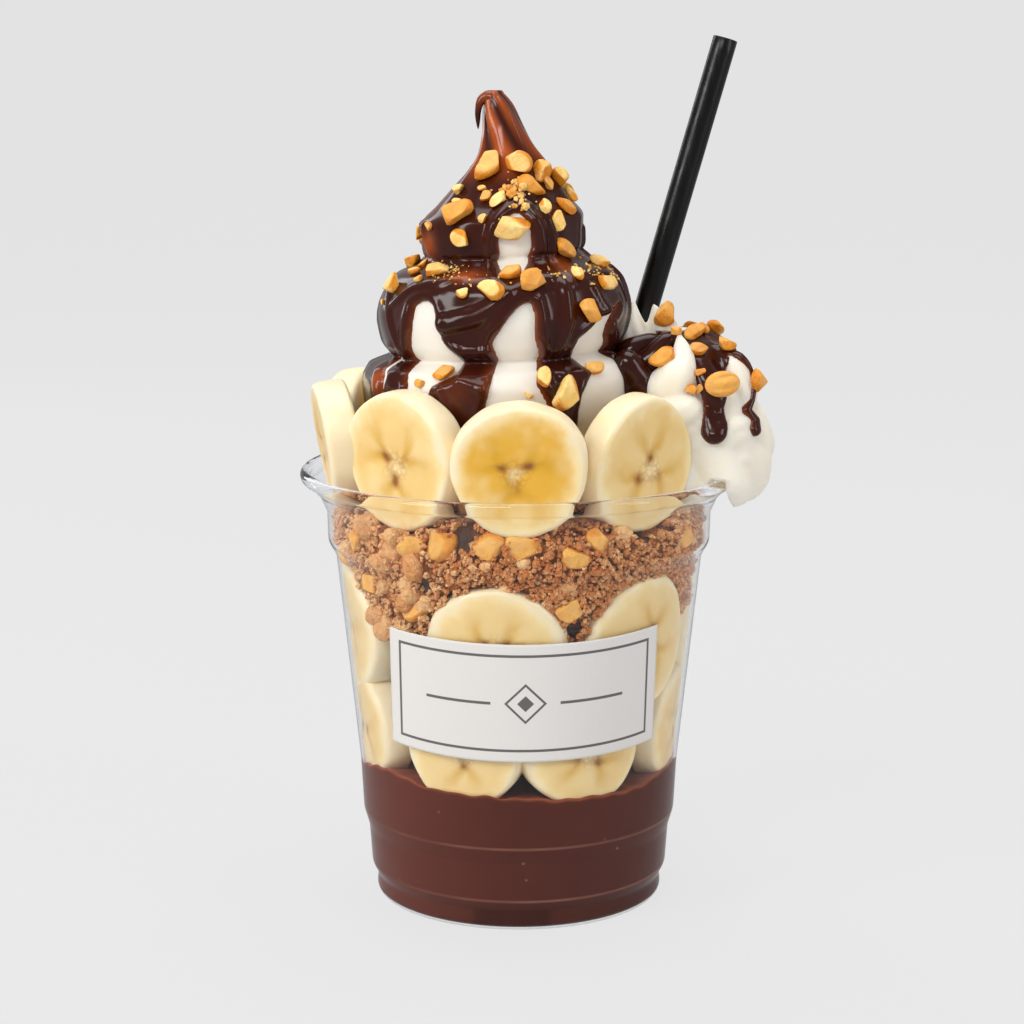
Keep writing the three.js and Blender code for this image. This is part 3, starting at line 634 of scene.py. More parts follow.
def crumb_finish():
    """Biscuit from dark to light as the field says, with a fine grain."""
    material = new_material("biscuit_crumb")
    dark, _ = mottled(material, 900, 2.0, colour(230, 148, 80), colour(200, 116, 60))
    light, _ = mottled(material, 900, 2.0, colour(255, 216, 162), colour(246, 184, 116))
    grain = mottled(material, 1300, 2.4)[1]
    return shaded(material, Base_Color=mix(field_of(material, "tone"), dark, light),
                  Normal=bump(grain, 0.5), Roughness=0.8, Specular_IOR_Level=0.2)


def core_finish():
    """Rough biscuit, painted a dark grey shade where it is low in the cup or in a hollow."""
    material = new_material("crumble_core")
    upper, mask = mottled(material, 700, 2.5, colour(208, 132, 70), colour(148, 82, 42))
    return shaded(material, Base_Color=mix(field_of(material, "low"), upper, colour(80, 62, 56)),
                  Normal=bump(mask, 0.6), Roughness=0.85, Specular_IOR_Level=0.15)


PEANUT, CRUMB = peanut_finish(), crumb_finish()


def crumble_surface(share):
    """Radius and height along the heap's outside for a share of its length, from the middle slices up
    the wall and in over the top."""
    path = np.vstack([CRUMBLE_OUTSIDE[3:], [[32, 91.2], [26, 91.4]]])
    length = np.concatenate([[0], np.cumsum(np.hypot(*np.diff(path, axis=0).T))])
    return [np.interp(share, length / length[-1], column) for column in path.T]


def turned(azimuth, start):
    """Degrees from a start to an azimuth, -180 to 180."""
    return (azimuth - start + 180) % 360 - 180


def from_spot(azimuth, height, spot):
    """Millimetres along the wall from a spot on it, where the wall is about 40 mm out."""
    return np.hypot(np.radians(turned(azimuth, spot[0])) * 40, height - spot[1])


def make_crumble_core():
    """The heap's outline turned round the axis, drawn in by 1.9 mm, kept 1.6 mm off the wall, roughened
    by up to 0.45 mm and pushed back behind the slices. It is painted dark as shade low down and in the
    hollows."""
    rows = np.vstack([softened(CRUMBLE_OUTSIDE, 2, 6), [[30, 91.0], [15, 91.2], [4, 91.2]]])
    out, height = rows[:, :1], rows[:, 1:]
    azimuth = all_round(CORE_COLUMNS)
    rng = np.random.default_rng(8)
    rough = rng.uniform(-1, 1, (2, len(rows), CORE_COLUMNS))
    radius = np.minimum(out - 1.9, wall_inside(height) - 1.6) + 0.45 * rough[0]
    rings = around(azimuth, radius, height - 0.8 + 0.25 * rough[1])
    past, facing = before_slices(rings.reshape(-1, 3), 0.4)
    rings = rings - (past[:, None] * facing).reshape(rings.shape)
    points, faces = closed_skin(rings, [0, 0, rows[0, 1]], [0, 0, 90.4])
    # Painted shade: the core is dark low down and in the hollows, where only shade shows through the gaps.
    low = np.repeat(np.clip((66 - height) / 3, 0, 1), CORE_COLUMNS, axis=1)
    for hollow in CRUMBLE_HOLLOWS:
        off = from_spot(azimuth, height, hollow)
        low = np.maximum(low, np.exp(-((off / (1.3 * hollow[2])) ** 4)))
    fields = {"low": np.concatenate([[1], low.ravel(), [0]])}
    make_piece("crumble_core", points, faces, core_finish(), ["crumble"], fields)


def scatter_places(count, size, rng):
    """Random places on the heap's outside for pieces of a size, kept inside the wall, off the slices
    and off the swirl that stands on top."""
    azimuth, share = rng.uniform(-180, 180, count), rng.beta(1.1, 1.5, count)
    radius, height = crumble_surface(share)
    clumps = 0.8 * np.minimum(0, waves(azimuth, height, 14, count=16, turns=34, per_mm=0.8) - 0.2)
    radius = np.minimum(radius, wall_inside(height) - 0.42 * size) + clumps - rng.uniform(0, 0.8, count)
    places = around(azimuth, radius, height + rng.uniform(-0.6, 0.3, count))
    keep = before_slices(places, 0.1)[0] == 0
    for a, z, width in [[a, z, 0.36 * length] for a, z, length in CRUMBLE_NUTS] + CRUMBLE_HOLLOWS:
        keep &= from_spot(azimuth, height, (a, z)) > width
    keep &= np.hypot(places[:, 0] - ICE_AXIS[0], places[:, 1] - ICE_AXIS[1]) > UNDER_ICE
    return places[keep], azimuth[keep], size[keep]


def crumbs(columns, corners, size, places, rng, outward=None):
    """Angular crumbs, balls of two rings whose corners lie at seeded shares of their reach. They lie
    along outward, or any way round."""
    base, faces = ball(2, columns)
    count = len(size)
    shapes = base[None] * rng.uniform(*corners, (count, len(base), 1)) * (size / 2)[:, None, None]
    if outward is None:
        outward = rng.normal(size=(count, 3))
    return many(shapes, turned_frames(outward, rng.uniform(0, 6.28, count)), places, faces)


def make_grains():
    """Fine grains of sixteen sides, most about 1 mm across. There are fewer where the lumps lie on the
    left, where the grains are also paler, partly as painted light from the left, and darker ones at the
    front."""
    rng = np.random.default_rng(11)
    places, azimuth, size = scatter_places(GRAINS, rng.gamma(8, 0.12, GRAINS) + 0.2, rng)
    lumpy = np.exp(-(((azimuth + 50) / 26) ** 2))
    # Paler on the left where the golden lumps lie, partly as painted light from the left lamp; darker at the
    # front.
    paler = 0.35 * lumpy - 0.34 * np.exp(-((azimuth / 25) ** 2))
    keep = np.flatnonzero(rng.uniform(0, 1, len(places)) > 0.55 * lumpy)[:GRAINS_KEPT]
    points, blocks = crumbs(4, (0.7, 1.3), size[keep], places[keep], rng)
    tone = np.clip(rng.normal(0.48, 0.28, len(keep)) + paler[keep], 0, 1)
    make_piece("crumble_grains", points, blocks, CRUMB,
               fields={"tone": np.repeat(tone, len(points) // len(keep))}, smooth=False)


def make_lumps():
    """Lumps of 3 to 7 mm, more of them on the left, with knobbly sides like grains stuck together. The
    hollows between the knobs are painted darker as shade.
    """
    rng = np.random.default_rng(12)
    places, azimuth, size = scatter_places(LUMPS, rng.uniform(2.4, 4.6, LUMPS), rng)
    left = np.exp(-(((azimuth + 48) / 34) ** 2))
    keep = rng.uniform(0, 1, len(places)) < 0.25 + 0.75 * left
    places, azimuth, size = places[keep], azimuth[keep], (size * (1 + 0.35 * left))[keep]
    places = places - around(azimuth, 0.06 * size, 0.0)
    base, faces = ball(rows=15, columns=24)
    count = len(places)
    knobs = unit(rng.normal(size=(count, LUMP_KNOBS, 3)))
    near = np.einsum("vj,nkj->nvk", base, knobs).max(axis=2)
    swell = rng.uniform(-1, 1, (count, 1, 3))
    reach = 0.78 + 0.24 * np.sqrt(np.clip((near - 0.88) / 0.12, 0, 1)) + rng.uniform(-0.02, 0.02, near.shape)
    reach = reach * (1 + 0.2 * np.sin(2.6 * (base[None] * swell).sum(axis=2) + swell[..., 0] * 3))
    shapes = base[None] * reach[..., None] * (size / 2)[:, None, None]
    points, blocks = many(shapes, turned_frames(rng.normal(size=(count, 3)), np.zeros(count)), places, faces)
    # Painted shade: darker in the hollows between the knobs and lighter on them, over each lump's own tone.
    tone = np.clip(rng.normal(0.7, 0.25, count), 0, 1)[:, None] + 1.6 * (near - 0.96)
    make_piece("crumble_lumps", points, blocks, CRUMB,
               fields={"tone": np.clip(tone, 0, 1).ravel()})


def make_crumble_nuts():
    """Chopped peanuts pressed against the wall, their outer sides flattened by it."""
    rng = np.random.default_rng(13)
    azimuth, height, length = np.array(CRUMBLE_NUTS).T
    breadth = length * rng.uniform(0.68, 0.9, len(length))
    shapes, faces, cut = chopped(length, breadth, rng)
    frames = turned_frames(around(azimuth, 1.0, 0.0), rng.uniform(-0.8, 0.8, len(length)))
    places = around(azimuth, wall_inside(height) - 0.42 * breadth - 0.2, height)
    points, blocks = many(shapes, frames, places, faces)
    reach = np.hypot(points[:, 0], points[:, 1])
    points[:, :2] *= np.minimum(1, (wall_inside(points[:, 2]) - 0.1) / reach)[:, None]
    make_piece("crumble_peanuts", points, blocks, PEANUT,
               fields={"cut": 0.12 + 0.3 * cut.ravel()})


make_crumble_core()
make_grains()
make_lumps()
make_crumble_nuts()


# ---- Soft-serve swirl ----------------------------------------------------------------------------
# Vanilla soft-serve drawn from the machine in three rounds, each narrower than the last, and pulled
# away to a tip that leans to the left. Only gaps in the sauce show it.

ICE_TILT = 0.9
# Where the middle of the tip lies: height and x.
ICE_TIP_AXIS = np.array([
    [150, -3.6], [160, -2.9], [165, -2.5], [170, -3.2], [175, -4.4], [177.3, -5.1], [179.2, -6.0],
])
SAUCE_DEPTH = 1.3
# Heights where one round of the swirl lies on the next.
ICE_CREASES = [123.4, 144.8]
# Radius and height with the sauce on.
ICE_OUTLINE = np.array([
    [28, 92], [29, 105], [30.4, 112], [31, 117.5], [29.6, 121.0], [25.6, 123.6], [26.6, 126.4],
    [27.7, 132], [26.6, 137.5], [24.0, 141], [19.2, 143.6], [18.3, 146.5], [18.1, 152], [15, 155.8],
    [12.2, 159.2], [9.5, 162.7], [6.8, 166.5], [4.7, 171.6], [3.5, 176.3], [2.6, 178.5], [1.8, 179.4],
    [0.3, 179.9],
])
ICE_ROWS, ICE_COLUMNS = 200, 240


def ice_axis(height):
    """Middle of the swirl at a height: upright, then swaying right and back to the left in the tip."""
    return eased(height, ICE_TIP_AXIS[:, 0], ICE_TIP_AXIS[:, 1]), ICE_AXIS[1]


def sauced_radius(azimuth, height):
    """Outline of the swirl with its sauce, its rounds rising a little towards the right."""
    level = height - ICE_TILT * np.sin(np.radians(azimuth))
    return eased(level, ICE_OUTLINE[:, 1], ICE_OUTLINE[:, 0])


def tip_flutes(azimuth, height):
    """Five ridges that the nozzle draws up into the tip: cosines that turn 3.5 degrees for each
    millimetre and fade out below the cone."""
    ridge = np.cos(np.radians(5 * (azimuth + 4 + 3.5 * (height - 166))))
    return ridge * np.clip((height - 157) / 8, 0, 1)


def sauce_share(height):
    """How much of its full depth the sauce has: all of it up to the cone, a third of it at the tip."""
    return np.clip((184 - height) / 26, 0.35, 1)


def ice_radius(azimuth, height):
    """Outside of the soft-serve itself, with the soft waves that the nozzle leaves and a crease, of
    depth exp(-|distance| / 0.8), where one round lies on the next."""
    whole = sauced_radius(azimuth, height)
    soft = 0.22 * waves(azimuth, height, 21, turns=5, per_mm=0.18) * np.clip((170 - height) / 20, 0, 1)
    level = height - ICE_TILT * np.sin(np.radians(azimuth))
    for crease in ICE_CREASES:
        soft = soft - 1.3 * np.exp(-np.abs(level - crease) / 0.8)
    return whole - SAUCE_DEPTH * sauce_share(height) + soft + 0.045 * whole * tip_flutes(azimuth, height)


def soft_serve_finish():
    """Warm white ice that lets a little light in, with a soft mottle."""
    material = new_material("soft_serve")
    body, mask = mottled(material, 45, 1.2, colour(245, 239, 231), colour(239, 230, 215))
    return shaded(material, Base_Color=body, Normal=bump(mask, 0.25), Roughness=0.38,
                  Specular_IOR_Level=0.35, Subsurface_Weight=0.35,
                  Subsurface_Radius=(0.006, 0.004, 0.0025), Subsurface_Scale=1.0)


def make_ice():
    """Rings round the leaning axis from the heap up to the tip, closed at both ends."""
    height = np.concatenate([np.linspace(92, 178, ICE_ROWS), [178.4, 178.8]])[:, None]
    azimuth = all_round(ICE_COLUMNS)[None]
    rings = around(azimuth, np.maximum(0.4, ice_radius(azimuth, height)), height, ice_axis(height))
    points, faces = closed_skin(rings, [ICE_AXIS[0], 0, 92], [ICE_TIP_AXIS[-1, 1], 0, 178.9])
    make_piece("soft_serve_swirl", points, faces, soft_serve_finish(), ["ice_cream"])


make_ice()


# ---- Chocolate sauce on the swirl ----------------------------------------------------------------
# Thick, glossy sauce ladled over the tip. It has run down over each round in broad tongues with heavy
# rounded edges and has left arches of soft-serve bare between them; where it is thin it turns amber.

# Outlines of the bare arches as azimuth and height, going round.
BARE_ARCHES = [
    [(-41, 136.1), (-45, 134.9), (-45.6, 132.8), (-47, 129.7), (-50, 126.3), (-51.5, 123.4), (-46, 120.9),
     (-43, 118), (-44, 113), (-34, 113), (-31, 118.4), (-24.2, 120.2), (-20.6, 121.3), (-20.7, 123),
     (-23.1, 124.5), (-26, 126.2), (-29, 128.1), (-31, 130.2), (-31.6, 132.8), (-34.3, 135), (-37.7, 136)],
    [(12.2, 136.6), (7.9, 135.6), (3.7, 133.6), (-0.4, 131.5), (-3.6, 129.1), (-4.8, 127.4), (-3.3, 125.6),
     (-1.9, 123.9), (-3.3, 122.2), (-4.9, 119.1), (-6.4, 115.2), (-9, 105), (-9, 95), (22, 95), (22, 105),
     (19.6, 114), (16, 118.2), (14.6, 119.4), (15.6, 122.1), (18.5, 123.7), (18.7, 125), (16.4, 127.9),
     (15.4, 131), (15.2, 133.9), (14.1, 136)],
    [(66.3, 134.3), (59.3, 133.3), (50.6, 131.9), (44.4, 129.8), (38.7, 127.8), (37.1, 125.7), (38.8, 123.6),
     (38.7, 122.3), (42, 121.4), (37.7, 119), (34.7, 116.4), (33.7, 113), (34, 105), (34, 95), (74, 95),
     (74, 108), (76, 114), (63.8, 117.4), (65.2, 120.7), (68, 122.0), (63.0, 122.6), (60.6, 125.8),
     (56.1, 128.2), (57.1, 130.4), (60.6, 132.4)],
    [(7.9, 154.5), (2.2, 153.6), (-1.8, 151.3), (-2.8, 148.6), (-1.7, 145.7), (-4.1, 144.2), (-1.1, 142.3),
     (2.1, 141.1), (9.1, 141.4), (13.3, 142.3), (18.3, 144.1), (21.5, 147.2), (20.6, 150.4), (16.4, 153.1),
     (12.5, 154.2)],
    [(-71.6, 123.0), (-66.9, 121.5), (-61.9, 118.8), (-59.5, 115), (-57.3, 115), (-57.6, 119.2),
     (-66, 123.3)],
    [(121, 134.2), (116.5, 133.4), (112.5, 130.6), (109.6, 126), (110.6, 121.5), (108, 117), (109, 105),
     (108, 95), (133, 95), (131, 108), (128.5, 117), (131.5, 120.5), (130.5, 126), (128, 131), (125, 133.8)],
    [(165, 136.4), (160.5, 135.6), (156.4, 132.6), (153.4, 127.4), (154.6, 123.4), (158.4, 119.6),
     (157, 112), (155, 95), (178, 95), (176, 110), (172.6, 118.4), (176.4, 121.6), (178.4, 125.6),
     (175.6, 130.4), (173.4, 134), (169.6, 136.2)],
    [(208, 132.2), (203.4, 131.2), (199.8, 127.6), (198.6, 123.6), (202.6, 120.4), (201, 113), (199, 95),
     (217, 95), (219, 110), (217.4, 117.6), (220.6, 122.4), (219.4, 127.4), (216, 130.2), (212.4, 132)],
    [(250, 136), (245.4, 134.8), (241.6, 131.4), (239.8, 126), (241.8, 122), (245.6, 118.4), (243.4, 110),
     (242, 95), (272, 95), (268, 106), (262, 114), (257.4, 119.4), (260.8, 123.6), (260.2, 128.6),
     (257.4, 132.8), (254, 135.4)],
]
SAUCE_ROUND, SAUCE_ROWS, SAUCE_COLUMNS = 1.5, 200, 288
# Thicker streams in the sauce as azimuth, height and half width along each.
SAUCE_STREAMS = [
    [(-11, 143, 1.4), (-10.5, 149, 1.5), (-5, 154, 1.6), (7.5, 157, 1.7), (20, 155.6, 1.7), (27, 151, 1.6),
     (29, 145.6, 1.6), (25, 141.5, 1.5)],
    [(19, 159.5, 1.5), (29, 155, 1.8), (37, 149.5, 1.8), (38, 144.5, 1.7), (36, 140, 1.6)],
    [(-95, 151, 1.2), (-72, 151.2, 1.4), (-66, 147.6, 1.5), (-58, 144.6, 1.5), (-46, 143, 1.2)],
    [(-66, 134, 1.3), (-57, 136.6, 1.4), (-49, 139, 1.4), (-41, 140, 1.4), (-31, 140.3, 1.3),
     (-21, 142, 1.2)],
    [(-33, 131.6, 2.4), (-24, 131.8, 2.8), (-13, 133.4, 2.8), (-5, 135.8, 2.4), (4, 138.4, 2.0)],
    [(-30, 127.4, 1.5), (-24, 126.4, 1.7), (-17, 125.6, 1.8), (-10, 125.4, 1.7), (-5, 126.4, 1.4)],
    [(17.5, 137, 1.3), (18, 131, 1.5), (20, 126.5, 1.6), (21.5, 123, 1.5)],
    [(31, 140, 1.8), (31.5, 132, 2.0), (28, 125.6, 2.2), (26, 121, 1.8)],
    [(-71, 137, 1.5), (-64, 131, 1.7), (-59, 126, 1.8), (-54, 122, 1.6), (-50.5, 118, 1.6)],
    [(50, 139, 1.5), (54, 134, 1.5), (59, 129.5, 1.6), (66, 125, 1.7), (68, 120, 1.8)],
    [(-20, 121, 1.3), (-12, 119.6, 1.6), (-6, 118.6, 1.5)],
    [(-27, 119, 1.2), (-23, 114, 1.5), (-18, 108, 1.6)],
    [(84, 150, 1.5), (92, 140, 1.7), (88, 128, 1.8), (92, 117, 1.8)],
    [(142, 142, 1.6), (147, 128, 2), (143, 116, 2)],
    [(186, 150, 1.5), (190, 136, 1.9), (187, 122, 2)], [(228, 144, 1.6), (231, 130, 1.9), (229, 117, 1.8)],
]
# Places where the sauce is thin: azimuth, height, spreads of both, strength.
THIN_PLACES = [
    [-62, 146.5, 8, 3.2, 0.9], [-20, 141.4, 9, 1.0, 0.9], [40, 143.4, 6, 1.8, 0.6],
    [-64, 118.4, 4, 3, 0.9], [-5, 119.4, 3, 3, 0.4], [-20, 117.5, 9, 4, 0.15], [-84, 160, 14, 7, 0.7],
    [92, 166, 14, 7, 0.4], [140, 131, 8, 5, 0.4], [225, 145, 9, 3, 0.5],
]


def ribbon(streams, azimuth, height, radius):
    """How far each place lies from the nearest stream's middle line as a share of its half width there,
    1 at its edge, and that half width. A stream is a chain of tapering capsules."""
    scale = np.radians(1.0) * radius
    nearest, width_there = np.full(np.broadcast(azimuth, height).shape, 9.0), 1.0
    for stream in streams:
        for (a0, z0, w0), (a1, z1, w1) in zip(stream[:-1], stream[1:]):
            x, y = turned(azimuth, a0) * scale, height - z0
            x1, y1 = (a1 - a0) * scale, z1 - z0
            t = np.clip((x * x1 + y * y1) / np.maximum(x1**2 + y1**2, 1e-9), 0, 1)
            width = w0 + (w1 - w0) * t
            share = np.hypot(x - t * x1, y - t * y1) / width
            width_there = np.where(share < nearest, width, width_there)
            nearest = np.minimum(nearest, share)
    return nearest, width_there


def distance_outside(outlines, azimuth, height, radius):
    """Millimetres along the surface to the nearest outline, below zero inside one. Each outline is a
    ring of straight sides; the nearest point on a side is a + clip(t, 0, 1) (b - a), and a point is
    inside where an upright line from it crosses the sides an odd number of times."""
    nearest = np.full(np.broadcast(azimuth, height).shape, 1e3)
    scale = np.radians(1.0) * radius
    for outline in outlines:
        corners = np.array(outline, float)
        middle = corners[:, 0].mean()
        off_middle = turned(azimuth, middle)
        best, crossings = np.full(nearest.shape, 1e3), np.zeros(nearest.shape, int)
        for (a0, z0), (a1, z1) in zip(corners, np.roll(corners, -1, axis=0)):
            x0, x1 = (a0 - middle - off_middle) * scale, (a1 - middle - off_middle) * scale
            y0, y1 = z0 - height, z1 - height
            dx, dy = x1 - x0, y1 - y0
            t = np.clip(-(x0 * dx + y0 * dy) / np.maximum(dx**2 + dy**2, 1e-9), 0, 1)
            best = np.minimum(best, np.hypot(x0 + t * dx, y0 + t * dy))
            spans = (x0 > 0) != (x1 > 0)
            at_zero = y0 + dy * x0 / np.where(np.abs(dx) < 1e-9, 1e-9, -dx)
            crossings = crossings + (spans & (at_zero > 0))
        nearest = np.minimum(nearest, np.where(crossings % 2 == 1, -best, best))
    return nearest


def sauce_depth(azimuth, height):
    """Depth of the sauce: rises from a bare edge as a quarter round, has a heavy bead just inside it,
    and carries the thicker streams. Below zero where the swirl is bare."""
    radius = sauced_radius(azimuth, height)
    wobble = 0.16 * waves(azimuth, height, 31, turns=30, per_mm=0.6)
    away = distance_outside(BARE_ARCHES, azimuth, height, radius) + wobble
    share = np.clip(away / SAUCE_ROUND, 0, 1)
    folds = waves(azimuth, 0.35 * height, 32, count=9, turns=14, per_mm=0.5)
    bead = 0.55 * np.exp(-(((away - 1.6) / 1.1) ** 2))
    off_stream, width = ribbon(SAUCE_STREAMS, azimuth + 1.5 * folds, height, radius)
    stream = 0.5 * width * np.clip(1 - off_stream**2, 0, 1) ** 1.5
    depth = sauce_share(height) * (SAUCE_DEPTH - 0.3 + 0.22 * folds * share + bead) + stream
    return np.where(away > 0, depth * np.sqrt(1 - (1 - share) ** 2), np.maximum(2 * away, -0.7)), away


def sauce_finish():
    """Dark glossy sauce that turns amber where the field says it is thin."""
    material = new_material("chocolate_sauce")
    dark, _ = mottled(material, 80, 1.5, colour(62, 21, 11), colour(45, 14, 8))
    amber, _ = mottled(material, 160, 1.8, colour(184, 90, 36), colour(140, 58, 22))
    return shaded(material, Base_Color=mix(field_of(material, "thin"), dark, amber), Roughness=0.16,
                  Specular_IOR_Level=0.32)


SAUCE = sauce_finish()


def make_coat(name, depth, outer, inner, thin):
    """Sauce wherever its depth is above zero, and one face further out. It is a closed shell: an outer
    skin, an inner one turned over, and a wall along each open edge. Thin is how amber it is."""
    wet = depth > 0
    keep = wet[:-1] | wet[1:]
    faces = quads(numbered(*depth.shape))[keep | np.roll(keep, -1, axis=1)]
    sides = np.stack([faces, np.roll(faces, -1, axis=1)], axis=-1).reshape(-1, 2)
    forward, back = sides @ [depth.size, 1], sides @ [1, depth.size]
    open_sides = sides[~np.isin(forward, back)]
    wall = np.hstack([open_sides[:, ::-1], open_sides + depth.size])
    faces = np.vstack([faces, faces[:, ::-1] + depth.size, wall])
    used, renumbered = np.unique(faces, return_inverse=True)
    points = np.vstack([outer.reshape(-1, 3), inner.reshape(-1, 3)])[used]
    make_piece(name, points, [renumbered.reshape(faces.shape)], SAUCE,
               fields={"thin": np.tile(thin.ravel(), 2)[used]})


def make_sauce():
    """The coat on the swirl, amber at its edges, in a few thin places and on the ridges of the tip."""
    height = np.linspace(96, 178.6, SAUCE_ROWS)
    height = np.concatenate([height, [178.9, 179.2, 179.5, 179.7, 179.9]])[:, None]
    azimuth = all_round(SAUCE_COLUMNS)[None]
    depth, away = sauce_depth(azimuth, height)
    body = ice_radius(azimuth, height)
    outer = around(azimuth, np.maximum(0.1, body + depth), height, ice_axis(height))
    inner = around(azimuth, np.maximum(0.05, body - 0.9), height, ice_axis(height))
    thin = 0.45 * np.exp(-np.maximum(away, 0) / 0.3)
    for a, z, spread, rise, strength in THIN_PLACES:
        off = (turned(azimuth, a) / spread) ** 2
        thin = np.maximum(thin, strength * np.exp(-off - ((height - z) / rise) ** 2))
    tip = np.clip((height - 159) / 9, 0, 1) * (0.6 + 0.6 * tip_flutes(azimuth, height))
    tip = tip * (1 - 0.6 * np.exp(-(((azimuth - 46) / 26) ** 2)))
    make_coat("swirl_sauce", depth, outer, inner, np.clip(np.maximum(thin, tip), 0, 1))


make_sauce()


# ---- The tip's last drop -------------------------------------------------------------------------
# A thread of sauce that ran over the tip and hangs from it on the left, thinning to a point.

DROP_PATH = np.array([
    [-4.6, -0.1, 176.2], [-5.6, -0.3, 177.6], [-6.9, -0.6, 178.2], [-8.0, -0.8, 177.9], [-8.7, -0.9, 176.6],
    [-8.95, -0.9, 174.6], [-8.9, -0.8, 171.6],
])
DROP_RADII = [2.6, 2.3, 1.7, 1.15, 0.8, 0.62, 0.35]


def along(path, radii, steps, columns, star=0.0):
    """A closed skin along a smooth path with round ends: the radius is eased between the given ones and
    swells by star in seven flutes, which turn by 4 degrees for each millimetre."""
    path, radii = np.asarray(path, float), np.asarray(radii, float)
    length = np.concatenate([[0], np.cumsum(np.linalg.norm(np.diff(path, axis=0), axis=1))])
    s = np.linspace(0, length[-1], steps)
    middle = np.stack([eased(s, length, column) for column in path.T], axis=-1)
    heading = unit(np.gradient(middle, axis=0))
    side = unit(np.cross(heading, [0.3, 1.0, 0.1]))
    other = np.cross(heading, side)
    steady = np.linspace(0, 2 * np.pi, columns, endpoint=False)
    angle = steady[None] + np.radians(4.0) * s[:, None]
    swell = 1 + star * (np.abs(np.cos(7 * angle / 2)) ** 0.8 - 0.55)
    to_end = np.minimum(s, length[-1] - s)
    rounding = np.sqrt(np.clip(1 - (1 - to_end / max(radii[0], 0.1)) ** 2, 0.02, 1))
    reach = (eased(s, length, radii) * np.where(to_end < radii[0], rounding, 1))[:, None] * swell
    circle = np.cos(steady)[:, None] * side[:, None] + np.sin(steady)[:, None] * other[:, None]
    return closed_skin(middle[:, None] + reach[..., None] * circle, middle[0], middle[-1])


def make_drop():
    """A tapering tube along the drop's path, amber where it is thin at the top."""
    points, faces = along(DROP_PATH, DROP_RADII, steps=60, columns=20)
    thin = np.clip((points[:, 2] - 175) / 5, 0, 1) * 0.7
    make_piece("last_drop_of_sauce", points, faces, SAUCE, fields={"thin": thin})


make_drop()


# ---- Peanuts on the swirl ------------------------------------------------------------------------
# Roasted peanuts chopped into pieces of 3 to 8 mm and thrown over the wet sauce, with the dust and
# splinters of the chopping lying in drifts on its rounds, front and back.

# Azimuth, height, length, breadth, roll.
SWIRL_NUTS = [
    [-28.6, 163.2, 6.9, 5.2, 48], [15, 164.1, 5.6, 4.6, -20], [47, 162.3, 4.8, 4.2, 30],
    [76, 160.9, 5.0, 3.9, -15], [27.3, 159.6, 6.2, 3.7, -35], [51.2, 159.8, 3.8, 2.3, 80],
    [-54.7, 158.7, 2.5, 2.2, 60], [-47.6, 156.1, 2.5, 1.6, 20], [-33.2, 153.6, 6.3, 5.0, 30],
    [-17.9, 157.5, 2.7, 2.3, 50], [-5.9, 156.8, 4.3, 2.5, 45], [-25.5, 159.2, 1.9, 1.4, 10],
    [32, 155.2, 3.2, 2.4, 80], [57.7, 155.3, 4.7, 3.0, -75], [39.6, 152.6, 4.3, 2.8, 80],
    [89, 157.1, 3.4, 2.4, 60], [6.8, 151.3, 7.6, 4.7, 0], [-28, 149.1, 4.1, 3.4, -20],
    [-15.3, 153.2, 2.1, 1.5, 70], [-59.4, 151.1, 2.1, 1.8, 0], [-80, 149.2, 2.8, 2.2, 80],
    [47.1, 146.6, 5.8, 3.0, -30], [73.5, 143, 4.6, 2.8, -40], [-40.4, 141.8, 4.7, 3.4, 25],
    [-65.9, 142.5, 3.2, 1.5, 70], [3.8, 141.6, 4.8, 3.7, 30], [14.4, 140.5, 5.8, 4.3, 10],
    [-48.2, 140.3, 2.0, 1.8, 30], [-67.1, 138.4, 4.3, 3.8, 60], [-60, 141.2, 3.0, 2.2, 20],
    [-75, 134.5, 1.5, 1.2, 0], [-18.7, 138, 2.4, 2.2, 0], [-4.6, 138.6, 5.3, 4.7, -60],
    [41.3, 141.4, 3.4, 2.4, 70], [57.3, 139.2, 5.3, 4.2, 20], [41.5, 134.1, 5.2, 4.8, 0],
    [-25.9, 120.8, 4.8, 2.9, 15], [-36.6, 118.7, 2.3, 1.8, 10], [10.8, 117.2, 2.0, 1.4, 0],
    [16.6, 120.7, 4.0, 3.0, 70], [24.3, 117.8, 6.6, 6.0, 20], [43.4, 121.5, 4.1, 2.9, 0],
    [108, 158, 5, 3.6, 10], [131, 146, 6, 4.4, 50], [150, 139.5, 5, 4, 0], [171, 154, 5.6, 3.8, -30],
    [189, 141, 6.2, 4.4, 15], [207, 150, 4.6, 3.4, 70], [228, 139, 5.4, 4, -20], [246, 148, 5, 3.8, 40],
    [262, 142, 4.6, 3.6, 0], [140, 122, 5, 3.8, 20], [232, 121, 5, 4.2, 60], [118, 138.5, 3.4, 2.6, 0],
    [200, 158, 3.8, 3, 30],
]
# Drifts of dust: azimuth, height, their spreads, number, size.
DUST_DRIFTS = [
    [8, 158.6, 9, 1.3, 28, 1.7], [6, 157.6, 14, 2.2, 30, 0.8], [-34, 142.4, 8, 0.7, 80, 0.5],
    [30, 142, 5, 0.6, 16, 0.6], [60, 141.4, 10, 1.2, 40, 0.6], [-16, 140.6, 22, 0.8, 20, 0.55],
    [150, 147, 12, 6, 34, 0.9], [196, 142, 10, 3, 44, 0.8], [232, 148, 14, 6, 30, 0.9],
]
DUST_HEIGHTS = (139.5, 166)
# The cuts take the corners off, so each piece starts this much larger than its measured size.
NUT_FULLNESS = 1.09


def lifted(azimuth, radius, height, axis, slope, lift):
    """Places on a surface round an axis, lifted off it, and the way out of it, (sin a, -cos a, -slope)."""
    outward = unit(around(azimuth, 1.0, -slope))
    return around(azimuth, radius, height, axis) + outward * np.asarray(lift)[:, None], outward


